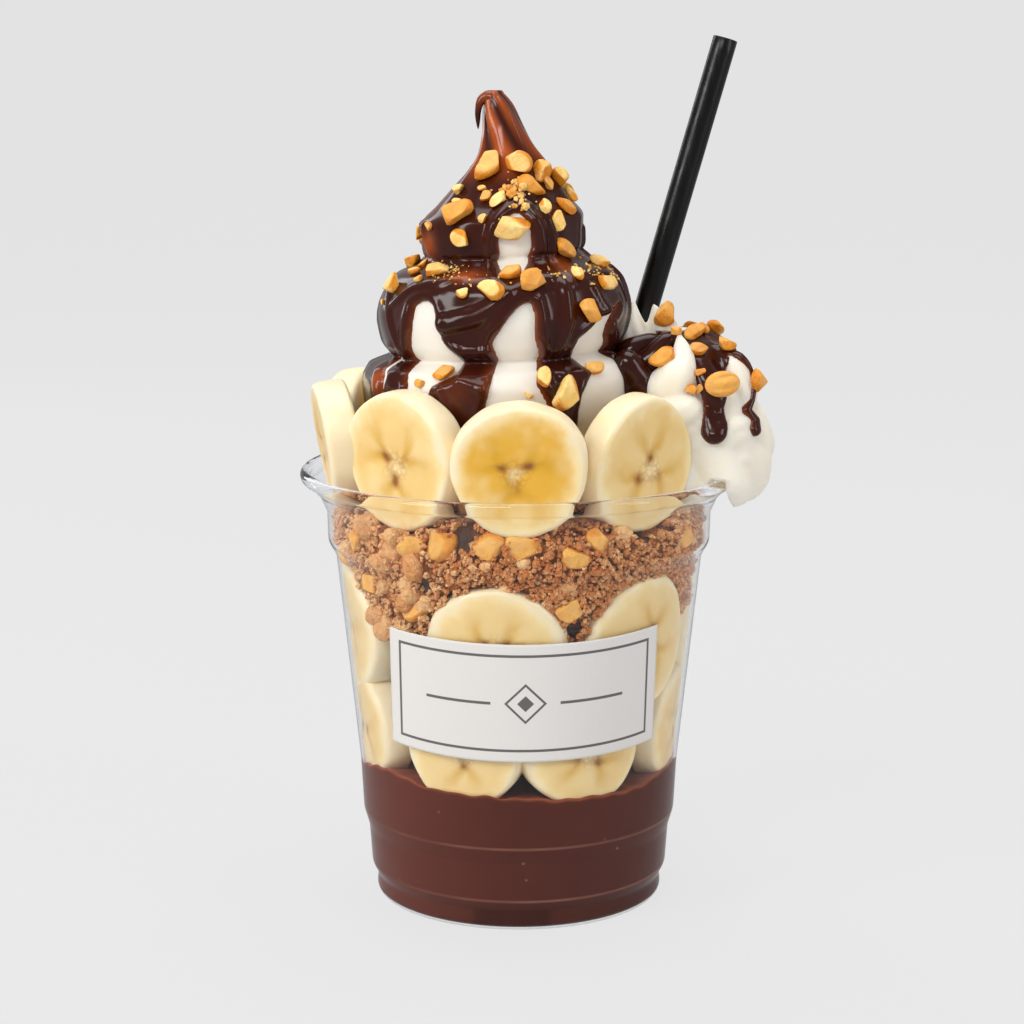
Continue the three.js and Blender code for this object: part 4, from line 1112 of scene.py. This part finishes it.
def on_swirl(azimuth, height, lift):
    """Places lifted off the sauced swirl, and the way out of it there."""
    radius = ice_radius(azimuth, height) + np.maximum(sauce_depth(azimuth, height)[0], 0)
    slope = sauced_radius(azimuth, height + 0.5) - sauced_radius(azimuth, height - 0.5)
    return lifted(azimuth, radius, height, ice_axis(height), slope, lift)


def lay_nuts(name, rows, lie_on, paleness, rng):
    """Chopped peanuts of a table lying on a surface, a little sunk into the sauce. Each has its own
    share of the pale cut tone."""
    azimuth, height, length, breadth, roll = np.array(rows, float).T
    length, breadth = NUT_FULLNESS * length, NUT_FULLNESS * breadth
    shapes, faces, cut = chopped(length, breadth, rng)
    places, outward = lie_on(azimuth, height, 0.2 * breadth)
    points, blocks = many(shapes, turned_frames(outward, np.radians(roll)), places, faces)
    cut = np.clip(cut * rng.uniform(0.2, 1.3, (len(length), 1)) * paleness, 0, 1)
    make_piece(name, points, blocks, PEANUT, fields={"cut": cut.ravel()})


def make_swirl_dust():
    """Dust round the middles of the drifts, thinning out as a normal curve does."""
    rng = np.random.default_rng(42)
    number = np.array(DUST_DRIFTS)[:, 4].astype(int)
    azimuth, height, spread, rise, _, size = np.repeat(DUST_DRIFTS, number, axis=0).T
    azimuth = azimuth + spread * rng.normal(size=len(size))
    height = np.clip(height + rise * rng.normal(size=len(size)), *DUST_HEIGHTS)
    size = size * rng.uniform(0.5, 1.5, len(size))
    places, outward = on_swirl(azimuth, height, 0.1 * size)
    points, blocks = crumbs(5, (0.5, 1.25), size, places, rng, outward)
    cut = np.repeat(rng.uniform(0.1, 1.1, len(size)), len(points) // len(size))
    make_piece("swirl_peanut_dust", points, blocks, PEANUT, fields={"cut": cut}, smooth=False)


lay_nuts("swirl_peanuts", SWIRL_NUTS, on_swirl, 1.0, np.random.default_rng(41))
make_swirl_dust()


# ---- Whipped cream -------------------------------------------------------------------------------
# Cream piped from a star nozzle over the right of the rim: one big rosette with smaller strokes pulled
# up to points on it, and lobes that sag over the lip of the cup.

CREAM_AXIS, CREAM_TOP_AXIS, CREAM_LEAN_FROM, CREAM_TOP = (38.6, -1.0), (35.2, 1.5), 112.0, 129.8
CREAM_OUTLINE = np.array([
    [13.2, 90.4], [15.6, 92.6], [17.2, 96], [17.4, 101], [16.4, 107], [14.4, 111.6], [14.3, 115.2],
    [12.9, 118.8], [11.2, 121.4], [9.6, 123.8], [6.6, 126.4], [2.6, 127.9],
])
# Strokes pulled from the nozzle: path, radii, how deep the flutes are. The first lies over the sauce,
# the second and third are the tall points behind, and the rest lie under sauce and peanuts.
CREAM_STROKES = [
    ([[28.6, -9.6, 113.8], [31.2, -11.6, 116.0], [34.0, -12.6, 118.8], [35.4, -11.6, 123.0],
      [34.6, -10.0, 128.4]], [3.2, 4.4, 4.4, 2.7, 0.5], 0.04),
    ([[25.4, 2.4, 110], [25.0, 1.8, 120], [24.6, 1.4, 128], [25.4, 1.0, 134.4]], [5.4, 5.0, 3.6, 0.6], 0.2),
    ([[33, 2.4, 113], [32.4, 1.8, 121], [31.4, 1.6, 128], [29.6, 1.4, 133.6]], [6.0, 5.2, 3.6, 0.6], 0.2),
    ([[27, -11.6, 110.4], [31, -14.0, 111.0], [35.6, -14.6, 111.8], [39.2, -12.6, 113.6]],
     [3.4, 3.8, 3.8, 2.8], 0.05),
    ([[46.2, -8.4, 108], [48.0, -7.8, 113.6], [47.2, -7.0, 119.6], [44.6, -5.0, 124.6]],
     [3.8, 4.0, 3.6, 1.4], 0.08),
    ([[35, -13.6, 104], [40.6, -14.2, 105.4], [46.2, -11.6, 106.8], [49.6, -5.4, 107.2], [49.8, 2.2, 106]],
     [4.0, 4.4, 4.4, 4.2, 4.0], 0.12),
    ([[37.6, -13.4, 98.6], [43, -13.4, 99.8], [48.0, -9.6, 100.2], [50.8, -3.4, 100.2], [50.4, 4.6, 100],
      [44, 11, 100]], [4.4, 4.8, 4.8, 4.8, 4.8, 4.4], 0.12),
    ([[45.8, -10.4, 97], [48.0, -10.8, 94.2], [48.4, -11.4, 92.2], [47.8, -12.0, 91.4]],
     [3.4, 2.6, 2.1, 1.4], 0.1),
    ([[50.4, -5.6, 97], [51.8, -5.2, 94.0], [51.6, -6.2, 92.8]], [4.0, 3.2, 2.2], 0.1),
    ([[36, 10, 108], [40, 11, 113], [43, 8.4, 118], [42.4, 4.4, 121.6]], [4.8, 5.2, 4.4, 1.6], 0.15),
    ([[48.4, -7.4, 113.5], [50.6, -7.2, 109], [51.4, -6.8, 103], [51.2, -7.2, 97.5], [50.8, -7.4, 93.4]],
     [1.6, 3.6, 4.2, 3.8, 2.0], 0.05),
    ([[44.0, -11.4, 113], [45.2, -12.2, 109], [45.4, -12.8, 104.5], [44.6, -13.4, 100]],
     [1.4, 2.6, 3.2, 2.0], 0.05),
    ([[35.6, -13.2, 110.4], [38.6, -14.2, 109.8], [40.0, -14.8, 106.4], [39.2, -14.2, 103.2]],
     [2.2, 3.0, 2.8, 1.6], 0.05),
    ([[36.6, -13.4, 98.8], [41.4, -15.0, 97.6], [46.2, -13.4, 96.4], [50.4, -9.0, 96.4]],
     [1.8, 2.9, 3.1, 2.2], 0.05),
]
CREAM_GRAIN, CREAM_RUBS = 0.42, 2
CREAM_ROWS, CREAM_COLUMNS, STROKE_ROWS, STROKE_COLUMNS = 110, 220, 70, 84
# Where the cream is free of the cup: reach of the lip's inside, of its clear outside, and its top. The
# crumble beside it, out to CRUMBLE_REACH, stands up to CRUMBLE_TOP.
LIP_INSIDE, LIP_OUTSIDE, LIP_TOP = 45.8, 49.1, 97.8
CRUMBLE_REACH, CRUMBLE_TOP = 41.3, 92.0


def cream_axis(height):
    """Middle of the rosette: upright, then leaning with a smooth step."""
    t = np.clip((height - CREAM_LEAN_FROM) / (CREAM_TOP - CREAM_LEAN_FROM), 0, 1)
    t = t * t * (3 - 2 * t)
    return [low + (high - low) * t for low, high in zip(CREAM_AXIS, CREAM_TOP_AXIS)]


def cream_radius(azimuth, height):
    """Outline of the rosette with nine flutes that turn 2.2 degrees for each millimetre, and the lobe
    that sags over the lip."""
    level = height + 0.5 * waves(azimuth, 0, 51, turns=3)
    turn = np.radians(9 * (azimuth + 2.2 * (height - 89.6)))
    flute = 1.2 * (np.abs(np.cos(turn / 2)) ** 0.8 - 0.62) * np.clip((131 - height) / 8, 0, 1)
    sag = 3.0 * np.exp(-((turned(azimuth, 22) / 20) ** 2) - ((height - 94.5) / 6) ** 2)
    folds = 0.35 * waves(azimuth, height, 52, turns=6, per_mm=0.5)
    return eased(level, CREAM_OUTLINE[:, 1], CREAM_OUTLINE[:, 0]) + flute + sag + folds


def off_the_cup(points):
    """Points lifted out of the lip and the wall: below the lip they lie outside it or on the crumble."""
    x, y, z = points.T
    reach = np.hypot(x, y)
    outside = reach > LIP_INSIDE
    push = np.where(outside & (z < LIP_TOP), np.maximum(1, LIP_OUTSIDE / np.maximum(reach, 1)), 1)
    lowest = np.interp(reach, [CRUMBLE_REACH, LIP_INSIDE], [CRUMBLE_TOP, LIP_TOP])
    return np.stack([x * push, y * push, np.where(outside, z, np.maximum(z, lowest))], axis=-1)


def cream_finish():
    """Soft white cream with a fine grain."""
    material = new_material("whipped_cream")
    body, _ = mottled(material, 70, 1.4, colour(244, 238, 225), colour(238, 230, 213))
    grain = mottled(material, 700, 1.2)[1]
    return shaded(material, Base_Color=body, Normal=bump(grain, 0.1), Roughness=0.5,
                  Specular_IOR_Level=0.3, Subsurface_Weight=0.4,
                  Subsurface_Radius=(0.006, 0.004, 0.002), Subsurface_Scale=1.0)


def welded(parts):
    """Closed meshes joined and drawn again as one skin of square grains, then rubbed smooth so that the
    creases between them fill. Gives its points and faces."""
    starts = np.cumsum([0] + [len(points) for points, _ in parts])
    faces = [face for (_, blocks), start in zip(parts, starts) for block in blocks
             for face in (block + start).tolist()]
    mesh = bpy.data.meshes.new("strokes")
    mesh.from_pydata(np.vstack([points for points, _ in parts]) * MM, [], faces)
    strokes = place_object("strokes", mesh)
    one_skin = strokes.modifiers.new("one_skin", "REMESH")
    one_skin.mode, one_skin.voxel_size = "VOXEL", CREAM_GRAIN * MM
    rubbed = strokes.modifiers.new("rubbed", "SMOOTH")
    rubbed.factor, rubbed.iterations = 0.5, CREAM_RUBS
    skin = strokes.evaluated_get(bpy.context.evaluated_depsgraph_get()).to_mesh()
    points, corners = np.empty(3 * len(skin.vertices), np.float32), np.empty(len(skin.loops), np.int32)
    skin.vertices.foreach_get("co", points)
    skin.loops.foreach_get("vertex_index", corners)
    bpy.data.objects.remove(strokes)
    bpy.data.meshes.remove(mesh)
    return points.reshape(-1, 3).astype(float) * 1000, [corners.reshape(-1, 4)]


def make_cream():
    """The rosette and its strokes, welded. Gives the points of the rosette and of each stroke."""
    height = np.linspace(90.4, 127.9, CREAM_ROWS)[:, None]
    azimuth = all_round(CREAM_COLUMNS)[None]
    rings = around(azimuth, cream_radius(azimuth, height), height, cream_axis(height))
    parts = [closed_skin(rings, [*CREAM_AXIS, 90.4], [*CREAM_TOP_AXIS, 128.2])]
    for path, radii, flutes in CREAM_STROKES:
        parts.append(along(path, radii, STROKE_ROWS, STROKE_COLUMNS, flutes))
    parts = [(off_the_cup(points), faces) for points, faces in parts]
    points, faces = welded(parts)
    make_piece("piped_cream", off_the_cup(points), faces, cream_finish(), ["whipped_cream"])
    return [points for points, _ in parts]


cream_parts = make_cream()


# ---- Sauce and peanuts on the cream --------------------------------------------------------------
# The same sauce, spooned over the top of the cream: a cap of it, one fat run down the front, a thin
# one on the right and a pool in the hollow beside the swirl, with peanuts and one half kernel on top.

# Runs as azimuth, height and half width along each.
CREAM_RUNS = [
    [(-16, 127.2, 2.6), (0, 127.4, 3.6), (22, 125.4, 4.4), (19, 121, 4.0), (16.4, 117, 3.4),
     (14.4, 112.8, 2.1), (12.6, 109.6, 2.5), (11.2, 107.6, 2.6)],
    [(36, 126.5, 2.0), (50, 124, 0.9), (56, 120, 0.55), (55, 116.4, 0.5), (51, 113.6, 0.6), (45, 111.6, 0.9),
     (50, 109.4, 1.2), (48, 107.4, 1.6)],
    [(0, 127.4, 3.4), (120, 127.2, 3.2), (170, 126, 2.4), (175, 121, 1.6)],
]
# Sauce in the hollow beside the swirl and the band that joins it to the top: path and radii.
CREAM_POOLS = [
    ([[21.4, -12.6, 124.0], [23.6, -11.4, 121.0], [25.6, -10.4, 117.6], [27.0, -10.8, 114.6],
      [26.6, -11.6, 112.6]], [2.4, 3.6, 4.2, 3.4, 1.8]),
    ([[24.4, -8.2, 119.0], [28.6, -8.4, 122.0], [31.6, -7.6, 125.4], [34.6, -5.6, 127.2]],
     [3.6, 3.0, 2.2, 2.0]),
    ([[21.5, -5.4, 121.0], [24.4, -5.2, 123.2], [27.6, -4.8, 124.8], [31.6, -4.2, 126.0]],
     [2.6, 3.2, 2.6, 1.8]),
]
# Azimuth, height, length, breadth, roll.
CREAM_NUTS = [
    [-75, 129.9, 5.9, 5.4, 90], [23.6, 127.3, 6.2, 2.8, 30], [63.9, 127.8, 3.2, 2.3, 70],
    [13.8, 124.3, 4.0, 2.7, -10], [48.9, 124.6, 4.3, 3.6, -30], [-5.9, 128.4, 2.3, 1.8, 0],
    [-23.8, 122.2, 5.5, 5.0, 20], [-51.7, 124.4, 4.3, 3.4, 80], [-33, 124, 2.3, 2.1, 0],
    [7.6, 120.2, 2.3, 1.6, 0], [-3.5, 116.7, 2.3, 2.0, 0], [2.3, 116.5, 2.3, 1.8, 70],
    [57.5, 117.6, 5.2, 4.2, -50], [150, 126.5, 5.6, 4, 0], [190, 122, 5, 4, 40], [110, 127, 5.2, 3.8, 0],
]
HALF_KERNEL = {"azimuth": 21, "height": 117.4, "length": 8.2}
COAT_ROWS, COAT_COLUMNS = 130, 420
# The cream's reach is measured on a grid that starts at this height and has so many rows of 1 mm, in
# steps of so many degrees.
REACH_FROM, REACH_ROWS, REACH_STEP = 88, 46, 3.0


def outermost(parts):
    """How far the cream reaches from its axis over a grid of height and azimuth: the largest radius of
    all its points in each cell or next to it, evened out."""
    points = np.vstack(parts)
    x, y = cream_axis(points[:, 2])
    off_x, off_y = points[:, 0] - x, points[:, 1] - y
    row = np.clip((points[:, 2] - REACH_FROM).astype(int), 0, REACH_ROWS - 1)
    column = (np.degrees(np.arctan2(off_x, -off_y)) % 360 / REACH_STEP).astype(int)
    grid = np.zeros((REACH_ROWS, int(360 / REACH_STEP)))
    np.maximum.at(grid, (row, column), np.hypot(off_x, off_y))
    for _ in range(2):
        beside = np.maximum(np.roll(grid, 1, axis=1), np.roll(grid, -1, axis=1))
        above = np.maximum(np.roll(grid, 1, axis=0), np.roll(grid, -1, axis=0))
        grid = np.where(grid < 0.5, np.maximum(beside, above), grid)
    for axis in (0, 1):
        grid = (np.roll(grid, 1, axis=axis) + 2 * grid + np.roll(grid, -1, axis=axis)) / 4
    return grid


def on_grid(grid, azimuth, height):
    """The cream's reach at a place, mixed from the four cells round it."""
    azimuth, height = np.broadcast_arrays(azimuth, height)
    row = np.clip(height - REACH_FROM - 0.5, 0, REACH_ROWS - 1.001)
    column = azimuth % 360 / REACH_STEP - 0.5
    r, c = row.astype(int), np.floor(column).astype(int)
    v, u = row - r, column - c
    wide = grid.shape[1]
    low = grid[r, c % wide] * (1 - u) + grid[r, (c + 1) % wide] * u
    high = grid[r + 1, c % wide] * (1 - u) + grid[r + 1, (c + 1) % wide] * u
    return low * (1 - v) + high * v


# The sauce lies on the rosette and all strokes but the first three, the peanuts on the first as well.
under_sauce = outermost(cream_parts[:1] + cream_parts[4:])
cream_reach = outermost(cream_parts[:2] + cream_parts[4:])


def run_depth(azimuth, height):
    """Depth of the sauce on the cream: the runs' round section, falling steeply below zero off them."""
    radius = eased(height, CREAM_OUTLINE[:, 1], CREAM_OUTLINE[:, 0])
    share, width = ribbon(CREAM_RUNS, azimuth, height, radius)
    rounded = (0.3 + np.minimum(1.4, 0.62 * width)) * np.sqrt(np.clip(1 - share**2, 0, 1))
    return np.where(share < 1, rounded, np.maximum(-0.9, 2.5 * (1 - share) * width))


def make_cream_sauce():
    """The coat that follows the runs, and a tube with round ends for each pool."""
    height = np.linspace(102, 127.8, COAT_ROWS)[:, None]
    azimuth = all_round(COAT_COLUMNS, -180)[None]
    depth = run_depth(azimuth, height)
    body = on_grid(under_sauce, azimuth, height)
    outer = around(azimuth, np.maximum(0.4, body + depth), height, cream_axis(height))
    inner = around(azimuth, np.maximum(0.2, body - 1.8), height, cream_axis(height))
    make_coat("cream_sauce", depth, outer, inner, np.exp(-np.maximum(depth, 0) / 0.3) * 0.4)
    for i, (path, radii) in enumerate(CREAM_POOLS, 1):
        points, faces = along(path, radii, steps=60, columns=48)
        make_piece(f"sauce_pool_{i}", points, faces, SAUCE,
                   fields={"thin": np.zeros(len(points))})


def on_cream(azimuth, height, lift):
    """Places lifted off the cream and its sauce, and the way out of it there."""
    sauced = on_grid(under_sauce, azimuth, height) + np.maximum(run_depth(azimuth, height), 0)
    radius = np.maximum(on_grid(cream_reach, azimuth, height), sauced)
    slope = on_grid(cream_reach, azimuth, height + 1.5) - on_grid(cream_reach, azimuth, height - 1.5)
    return lifted(azimuth, radius, height, cream_axis(height), slope / 3, lift)


def make_half_kernel():
    """Half a peanut lying face out: an egg shape cut flat, with the germ's ridge between two grooves."""
    base, faces = ball(rows=28, columns=40)
    length = HALF_KERNEL["length"]
    egg = base * [length / 2, length / 2.9, length / 3.6]
    flat = 0.16 * length
    ridge = 0.35 * np.exp(-((egg[:, 1] / 0.55) ** 2))
    ridge = ridge - 0.45 * np.exp(-(((np.abs(egg[:, 1]) - 1.25) / 0.4) ** 2))
    ridge = ridge * np.clip(1 - np.abs(egg[:, 0]) / (0.46 * length), 0, 1)
    egg[:, 2] = np.where(egg[:, 2] > flat, flat + 0.45 * (egg[:, 2] - flat) + ridge, egg[:, 2])
    azimuth, height = np.array([HALF_KERNEL["azimuth"]], float), np.array([HALF_KERNEL["height"]])
    place, outward = on_cream(azimuth, height, [0.14 * length])
    points, blocks = many(egg[None], turned_frames(outward, np.array([0.1])), place, faces)
    make_piece("half_peanut", points, blocks, PEANUT,
               fields={"cut": np.full(len(points), 0.35)})


make_cream_sauce()
lay_nuts("cream_peanuts", CREAM_NUTS, on_cream, 0.4, np.random.default_rng(61))
make_half_kernel()


# ---- The straw -----------------------------------------------------------------------------------
# A black plastic drinking straw, 5.5 mm across and open at both ends, pushed down through the crumble
# behind the cream so that it leans out to the right.

STRAW_FOOT, STRAW_END = np.array([-7.3, 6.0, 6.0]), np.array([45.9, 15.0, 191.0])
STRAW_RADIUS, STRAW_WALL, STRAW_EDGE = 2.75, 0.3, 0.12
STRAW_ROWS, STRAW_COLUMNS = 60, 48


def straw_finish():
    """Drawn lightly along its length, which makes it a little rougher here and there."""
    material = new_material("black_straw")
    stretched = add_node("Mapping", own_place(material), None, None, (1.0, 1.0, 0.06))
    drawn = add_node("TexNoise", stretched, 900.0, 3.0)
    return shaded(material, Base_Color=colour(5, 5, 5), Specular_IOR_Level=0.35,
                  Roughness=add_node("MapRange", drawn, 0.3, 0.7, 0.24, 0.4), Normal=bump(drawn, 0.03))


def make_straw():
    """The tube's section, up the outside and down the inside, turned round its leaning axis."""
    length = np.linalg.norm(STRAW_END - STRAW_FOOT)
    way = (STRAW_END - STRAW_FOOT) / length
    side = np.cross(way, [0, 1, 0])
    side /= np.linalg.norm(side)
    other = np.cross(way, side)
    outer, inner = STRAW_RADIUS - STRAW_EDGE, STRAW_RADIUS - STRAW_WALL
    rows = np.linspace(STRAW_EDGE, length - STRAW_EDGE, STRAW_ROWS)
    radius = np.concatenate([[outer], np.full(STRAW_ROWS, STRAW_RADIUS), [outer, inner + 0.08],
                             np.full(STRAW_ROWS, inner), [inner + 0.08]])
    up = np.concatenate([[0], rows, [length, length], rows[::-1], [0]])
    angle = np.linspace(0, 2 * np.pi, STRAW_COLUMNS, endpoint=False)
    circle = np.cos(angle)[:, None] * side + np.sin(angle)[:, None] * other
    rings = STRAW_FOOT + up[:, None, None] * way + radius[:, None, None] * circle
    faces = quads(numbered(len(rings), STRAW_COLUMNS, (1, 1))).reshape(-1, 4)
    make_piece("black_straw", rings.reshape(-1, 3), [faces], straw_finish(), ["straw"])


make_straw()


# ---- The label -----------------------------------------------------------------------------------
# A white paper sticker cut as a straight rectangle and smoothed on to the tapering wall, so that its
# long edges curve. It carries a thin dark frame and a plain lozenge between two rules.

LABEL_WIDTH, LABEL_HEIGHT, LABEL_AZIMUTH, LABEL_MIDDLE = 64.0, 26.5, 2.0, 52.6
LABEL_THICKNESS, LABEL_ROWS, LABEL_COLUMNS = 0.12, 51, 121
# The printed frame's distances from the side and the top, the lozenge's and the dot's half widths, and
# where the rules begin and end.
FRAME_FROM_SIDE, FRAME_FROM_TOP, LOZENGE, DOT, RULE_FROM, RULE_TO = 3.0, 2.6, 4.2, 1.7, 7.5, 22.0


def label_finish():
    """The print is drawn from the sticker's own map, in millimetres from its middle."""
    material = new_material("label_paper")
    _, across, up = own_map(material)
    across, up = maths("ABSOLUTE", across), maths("ABSOLUTE", up)

    def line(distance, half_width):
        """1 within half a width of where distance is zero, with a soft printed edge."""
        return smooth_mask(maths("ABSOLUTE", distance), half_width + 0.07, half_width - 0.03)

    to_side = maths("SUBTRACT", across, LABEL_WIDTH / 2 - FRAME_FROM_SIDE)
    to_top = maths("SUBTRACT", up, LABEL_HEIGHT / 2 - FRAME_FROM_TOP)
    frame_line = line(maths("MAXIMUM", to_side, to_top), 0.28)
    diagonal = maths("ADD", across, up)
    lozenge = line(maths("SUBTRACT", diagonal, LOZENGE), 0.32)
    dot = smooth_mask(diagonal, DOT + 0.2, DOT)
    rule = times(line(up, 0.3), smooth_mask(across, RULE_FROM - 0.1, RULE_FROM),
                 smooth_mask(across, RULE_TO + 0.1, RULE_TO))
    ink = maths("MAXIMUM", maths("MAXIMUM", frame_line, lozenge), maths("MAXIMUM", dot, rule))
    paper, grain = mottled(material, 1200, 1.0, colour(226, 222, 219), colour(222, 218, 214))
    return shaded(material, Base_Color=mix(times(ink, 0.86), paper, colour(52, 48, 47)),
                  Normal=bump(grain, 0.02), Roughness=0.5, Specular_IOR_Level=0.4)


def wall_outside(height):
    """Outer radius of the cup at a height."""
    return np.interp(height, CUP_OUTSIDE[:, 1], CUP_OUTSIDE[:, 0])


def wrapped(across, up, lift):
    """A flat place on the sticker wrapped on the cone of the wall: the distance from the cone's point is
    kept, and the sideways angle there is divided by the sine of the wall's slope."""
    slope = math.atan2(wall_outside(LABEL_MIDDLE) - wall_outside(LABEL_MIDDLE - 10), 10)
    slant = wall_outside(LABEL_MIDDLE) / math.sin(slope)
    reach = np.hypot(across, slant + up)
    azimuth = LABEL_AZIMUTH + np.degrees(np.arctan2(across, slant + up) / math.sin(slope))
    height = LABEL_MIDDLE + (reach - slant) * math.cos(slope)
    return around(azimuth, wall_outside(height) + lift / math.cos(slope), height)


def make_label():
    """A front sheet, a back sheet turned over, and the cut edge between them."""
    x = np.linspace(-LABEL_WIDTH / 2, LABEL_WIDTH / 2, LABEL_COLUMNS)
    z = np.linspace(-LABEL_HEIGHT / 2, LABEL_HEIGHT / 2, LABEL_ROWS)
    flat_x, flat_z = np.meshgrid(x, z)
    front, back = wrapped(flat_x, flat_z, 0.02 + LABEL_THICKNESS), wrapped(flat_x, flat_z, 0.01)
    here = numbered(LABEL_ROWS, LABEL_COLUMNS, (0, 0))
    sheet = quads(here).reshape(-1, 4)
    edge = np.concatenate([here[0, :-1], here[:-1, -1], here[-1, :0:-1], here[:0:-1, 0]])
    after = np.roll(edge, -1)
    wall = np.stack([after, edge, edge + here.size, after + here.size], axis=-1)
    points = np.vstack([front.reshape(-1, 3), back.reshape(-1, 3)])
    uv = np.tile(np.stack([flat_x.ravel(), flat_z.ravel()], axis=-1), (2, 1))
    make_piece("white_label", points, [sheet, sheet[:, ::-1] + here.size, wall], label_finish(),
               ["label"], uv=uv)


make_label()


# ---- Stage, lamps and camera ---------------------------------------------------------------------
# A pale floor that sweeps up behind the cup, large soft lamps and a long lens a little above the rim.

PALE, GLOW = (0.06, 0.06, 0.06, 1.0), (0.73, 0.73, 0.735, 1.0)
CAMERA_PLACE, CAMERA_PITCH, CAMERA_LENS = (-0.00154, -0.54646, 0.18866), 10.562, 87.27
# Sizes of the floor in metres: its half width, where the bend starts, the bend's radius, the wall's top.
FLOOR_REACH, BEND_FROM, BEND_RADIUS, WALL_TOP = 12.0, 1.2, 0.7, 3.5
BEND_ROWS, FLOOR_COLUMNS = 24, 9


def pale_paint():
    """Paint that glows evenly and is dimmer where the glossy food mirrors it."""
    material = new_material("pale_paint")
    path = material.node_tree.nodes.new("ShaderNodeLightPath").outputs
    mirrored = maths("SUBTRACT", path["Is Glossy Ray"], path["Is Transmission Ray"], clamp=True)
    return shaded(material, Base_Color=PALE, Roughness=0.9, Specular_IOR_Level=0.05, Emission_Color=GLOW,
                  Emission_Strength=maths("MULTIPLY_ADD", mirrored, -0.55, 1.0))


def make_stage():
    """A floor that bends up into a wall: flat, then a quarter round, then upright."""
    bend = np.radians(np.linspace(0, 90, BEND_ROWS))
    y = np.concatenate([[-FLOOR_REACH], BEND_FROM + BEND_RADIUS * np.sin(bend), [BEND_FROM + BEND_RADIUS]])
    z = np.concatenate([[0.0], BEND_RADIUS - BEND_RADIUS * np.cos(bend), [WALL_TOP]])
    x = np.linspace(-FLOOR_REACH, FLOOR_REACH, FLOOR_COLUMNS)
    points = np.stack(np.broadcast_arrays(x, y[:, None], z[:, None]), axis=-1)
    faces = quads(numbered(len(y), FLOOR_COLUMNS, (0, 0))).reshape(-1, 4)
    mesh = bpy.data.meshes.new("pale_sweep")
    mesh.from_pydata(points.reshape(-1, 3), [], faces.tolist())
    mesh.polygons.foreach_set("use_smooth", np.full(len(faces), True))
    mesh.materials.append(pale_paint())
    sweep = place_object("pale_sweep", mesh)


def add_lamp(name, place, aim, size, power, tint=(1.0, 1.0, 1.0)):
    """A soft rectangular lamp at a place, turned to face a point."""
    lamp = bpy.data.lights.new(name, "AREA")
    lamp.shape = "RECTANGLE"
    lamp.size, lamp.size_y = size
    lamp.energy = power
    lamp.color = tint
    holder = place_object(name, lamp)
    holder.location = place
    holder.rotation_euler = (Vector(aim) - Vector(place)).to_track_quat("-Z", "Y").to_euler()


make_stage()
add_lamp("left_softbox", (-0.75, -0.55, 0.62), (0, 0, 0.11), (0.32, 0.8), 6.6, (1.0, 0.99, 0.97))
add_lamp("front_softbox", (-0.24, -0.78, 0.86), (0, 0, 0.12), (0.36, 0.26), 3.1)
add_lamp("right_softbox", (0.85, -0.45, 0.45), (0, 0, 0.1), (0.25, 0.7), 2.4)
add_lamp("top_softbox", (0.05, 0.15, 1.0), (0, 0, 0.1), (0.8, 0.6), 4.7)
add_lamp("back_strip", (-0.5, 0.7, 0.5), (0, 0, 0.12), (0.2, 0.8), 1.3)

world = bpy.data.worlds.new("studio_air")
world.use_nodes = True
air = world.node_tree.nodes["Background"].inputs
air["Color"].default_value = (1.0, 1.0, 1.0, 1.0)
air["Strength"].default_value = 0.28
bpy.context.scene.world = world

lens = bpy.data.cameras.new("lens")
lens.lens, lens.sensor_width = CAMERA_LENS, 36.0
camera = place_object("camera", lens)
camera.location = CAMERA_PLACE
camera.rotation_euler = (math.radians(90 - CAMERA_PITCH), 0, 0)
bpy.context.scene.camera = camera
bpy.context.scene.view_settings.view_transform = "Standard"
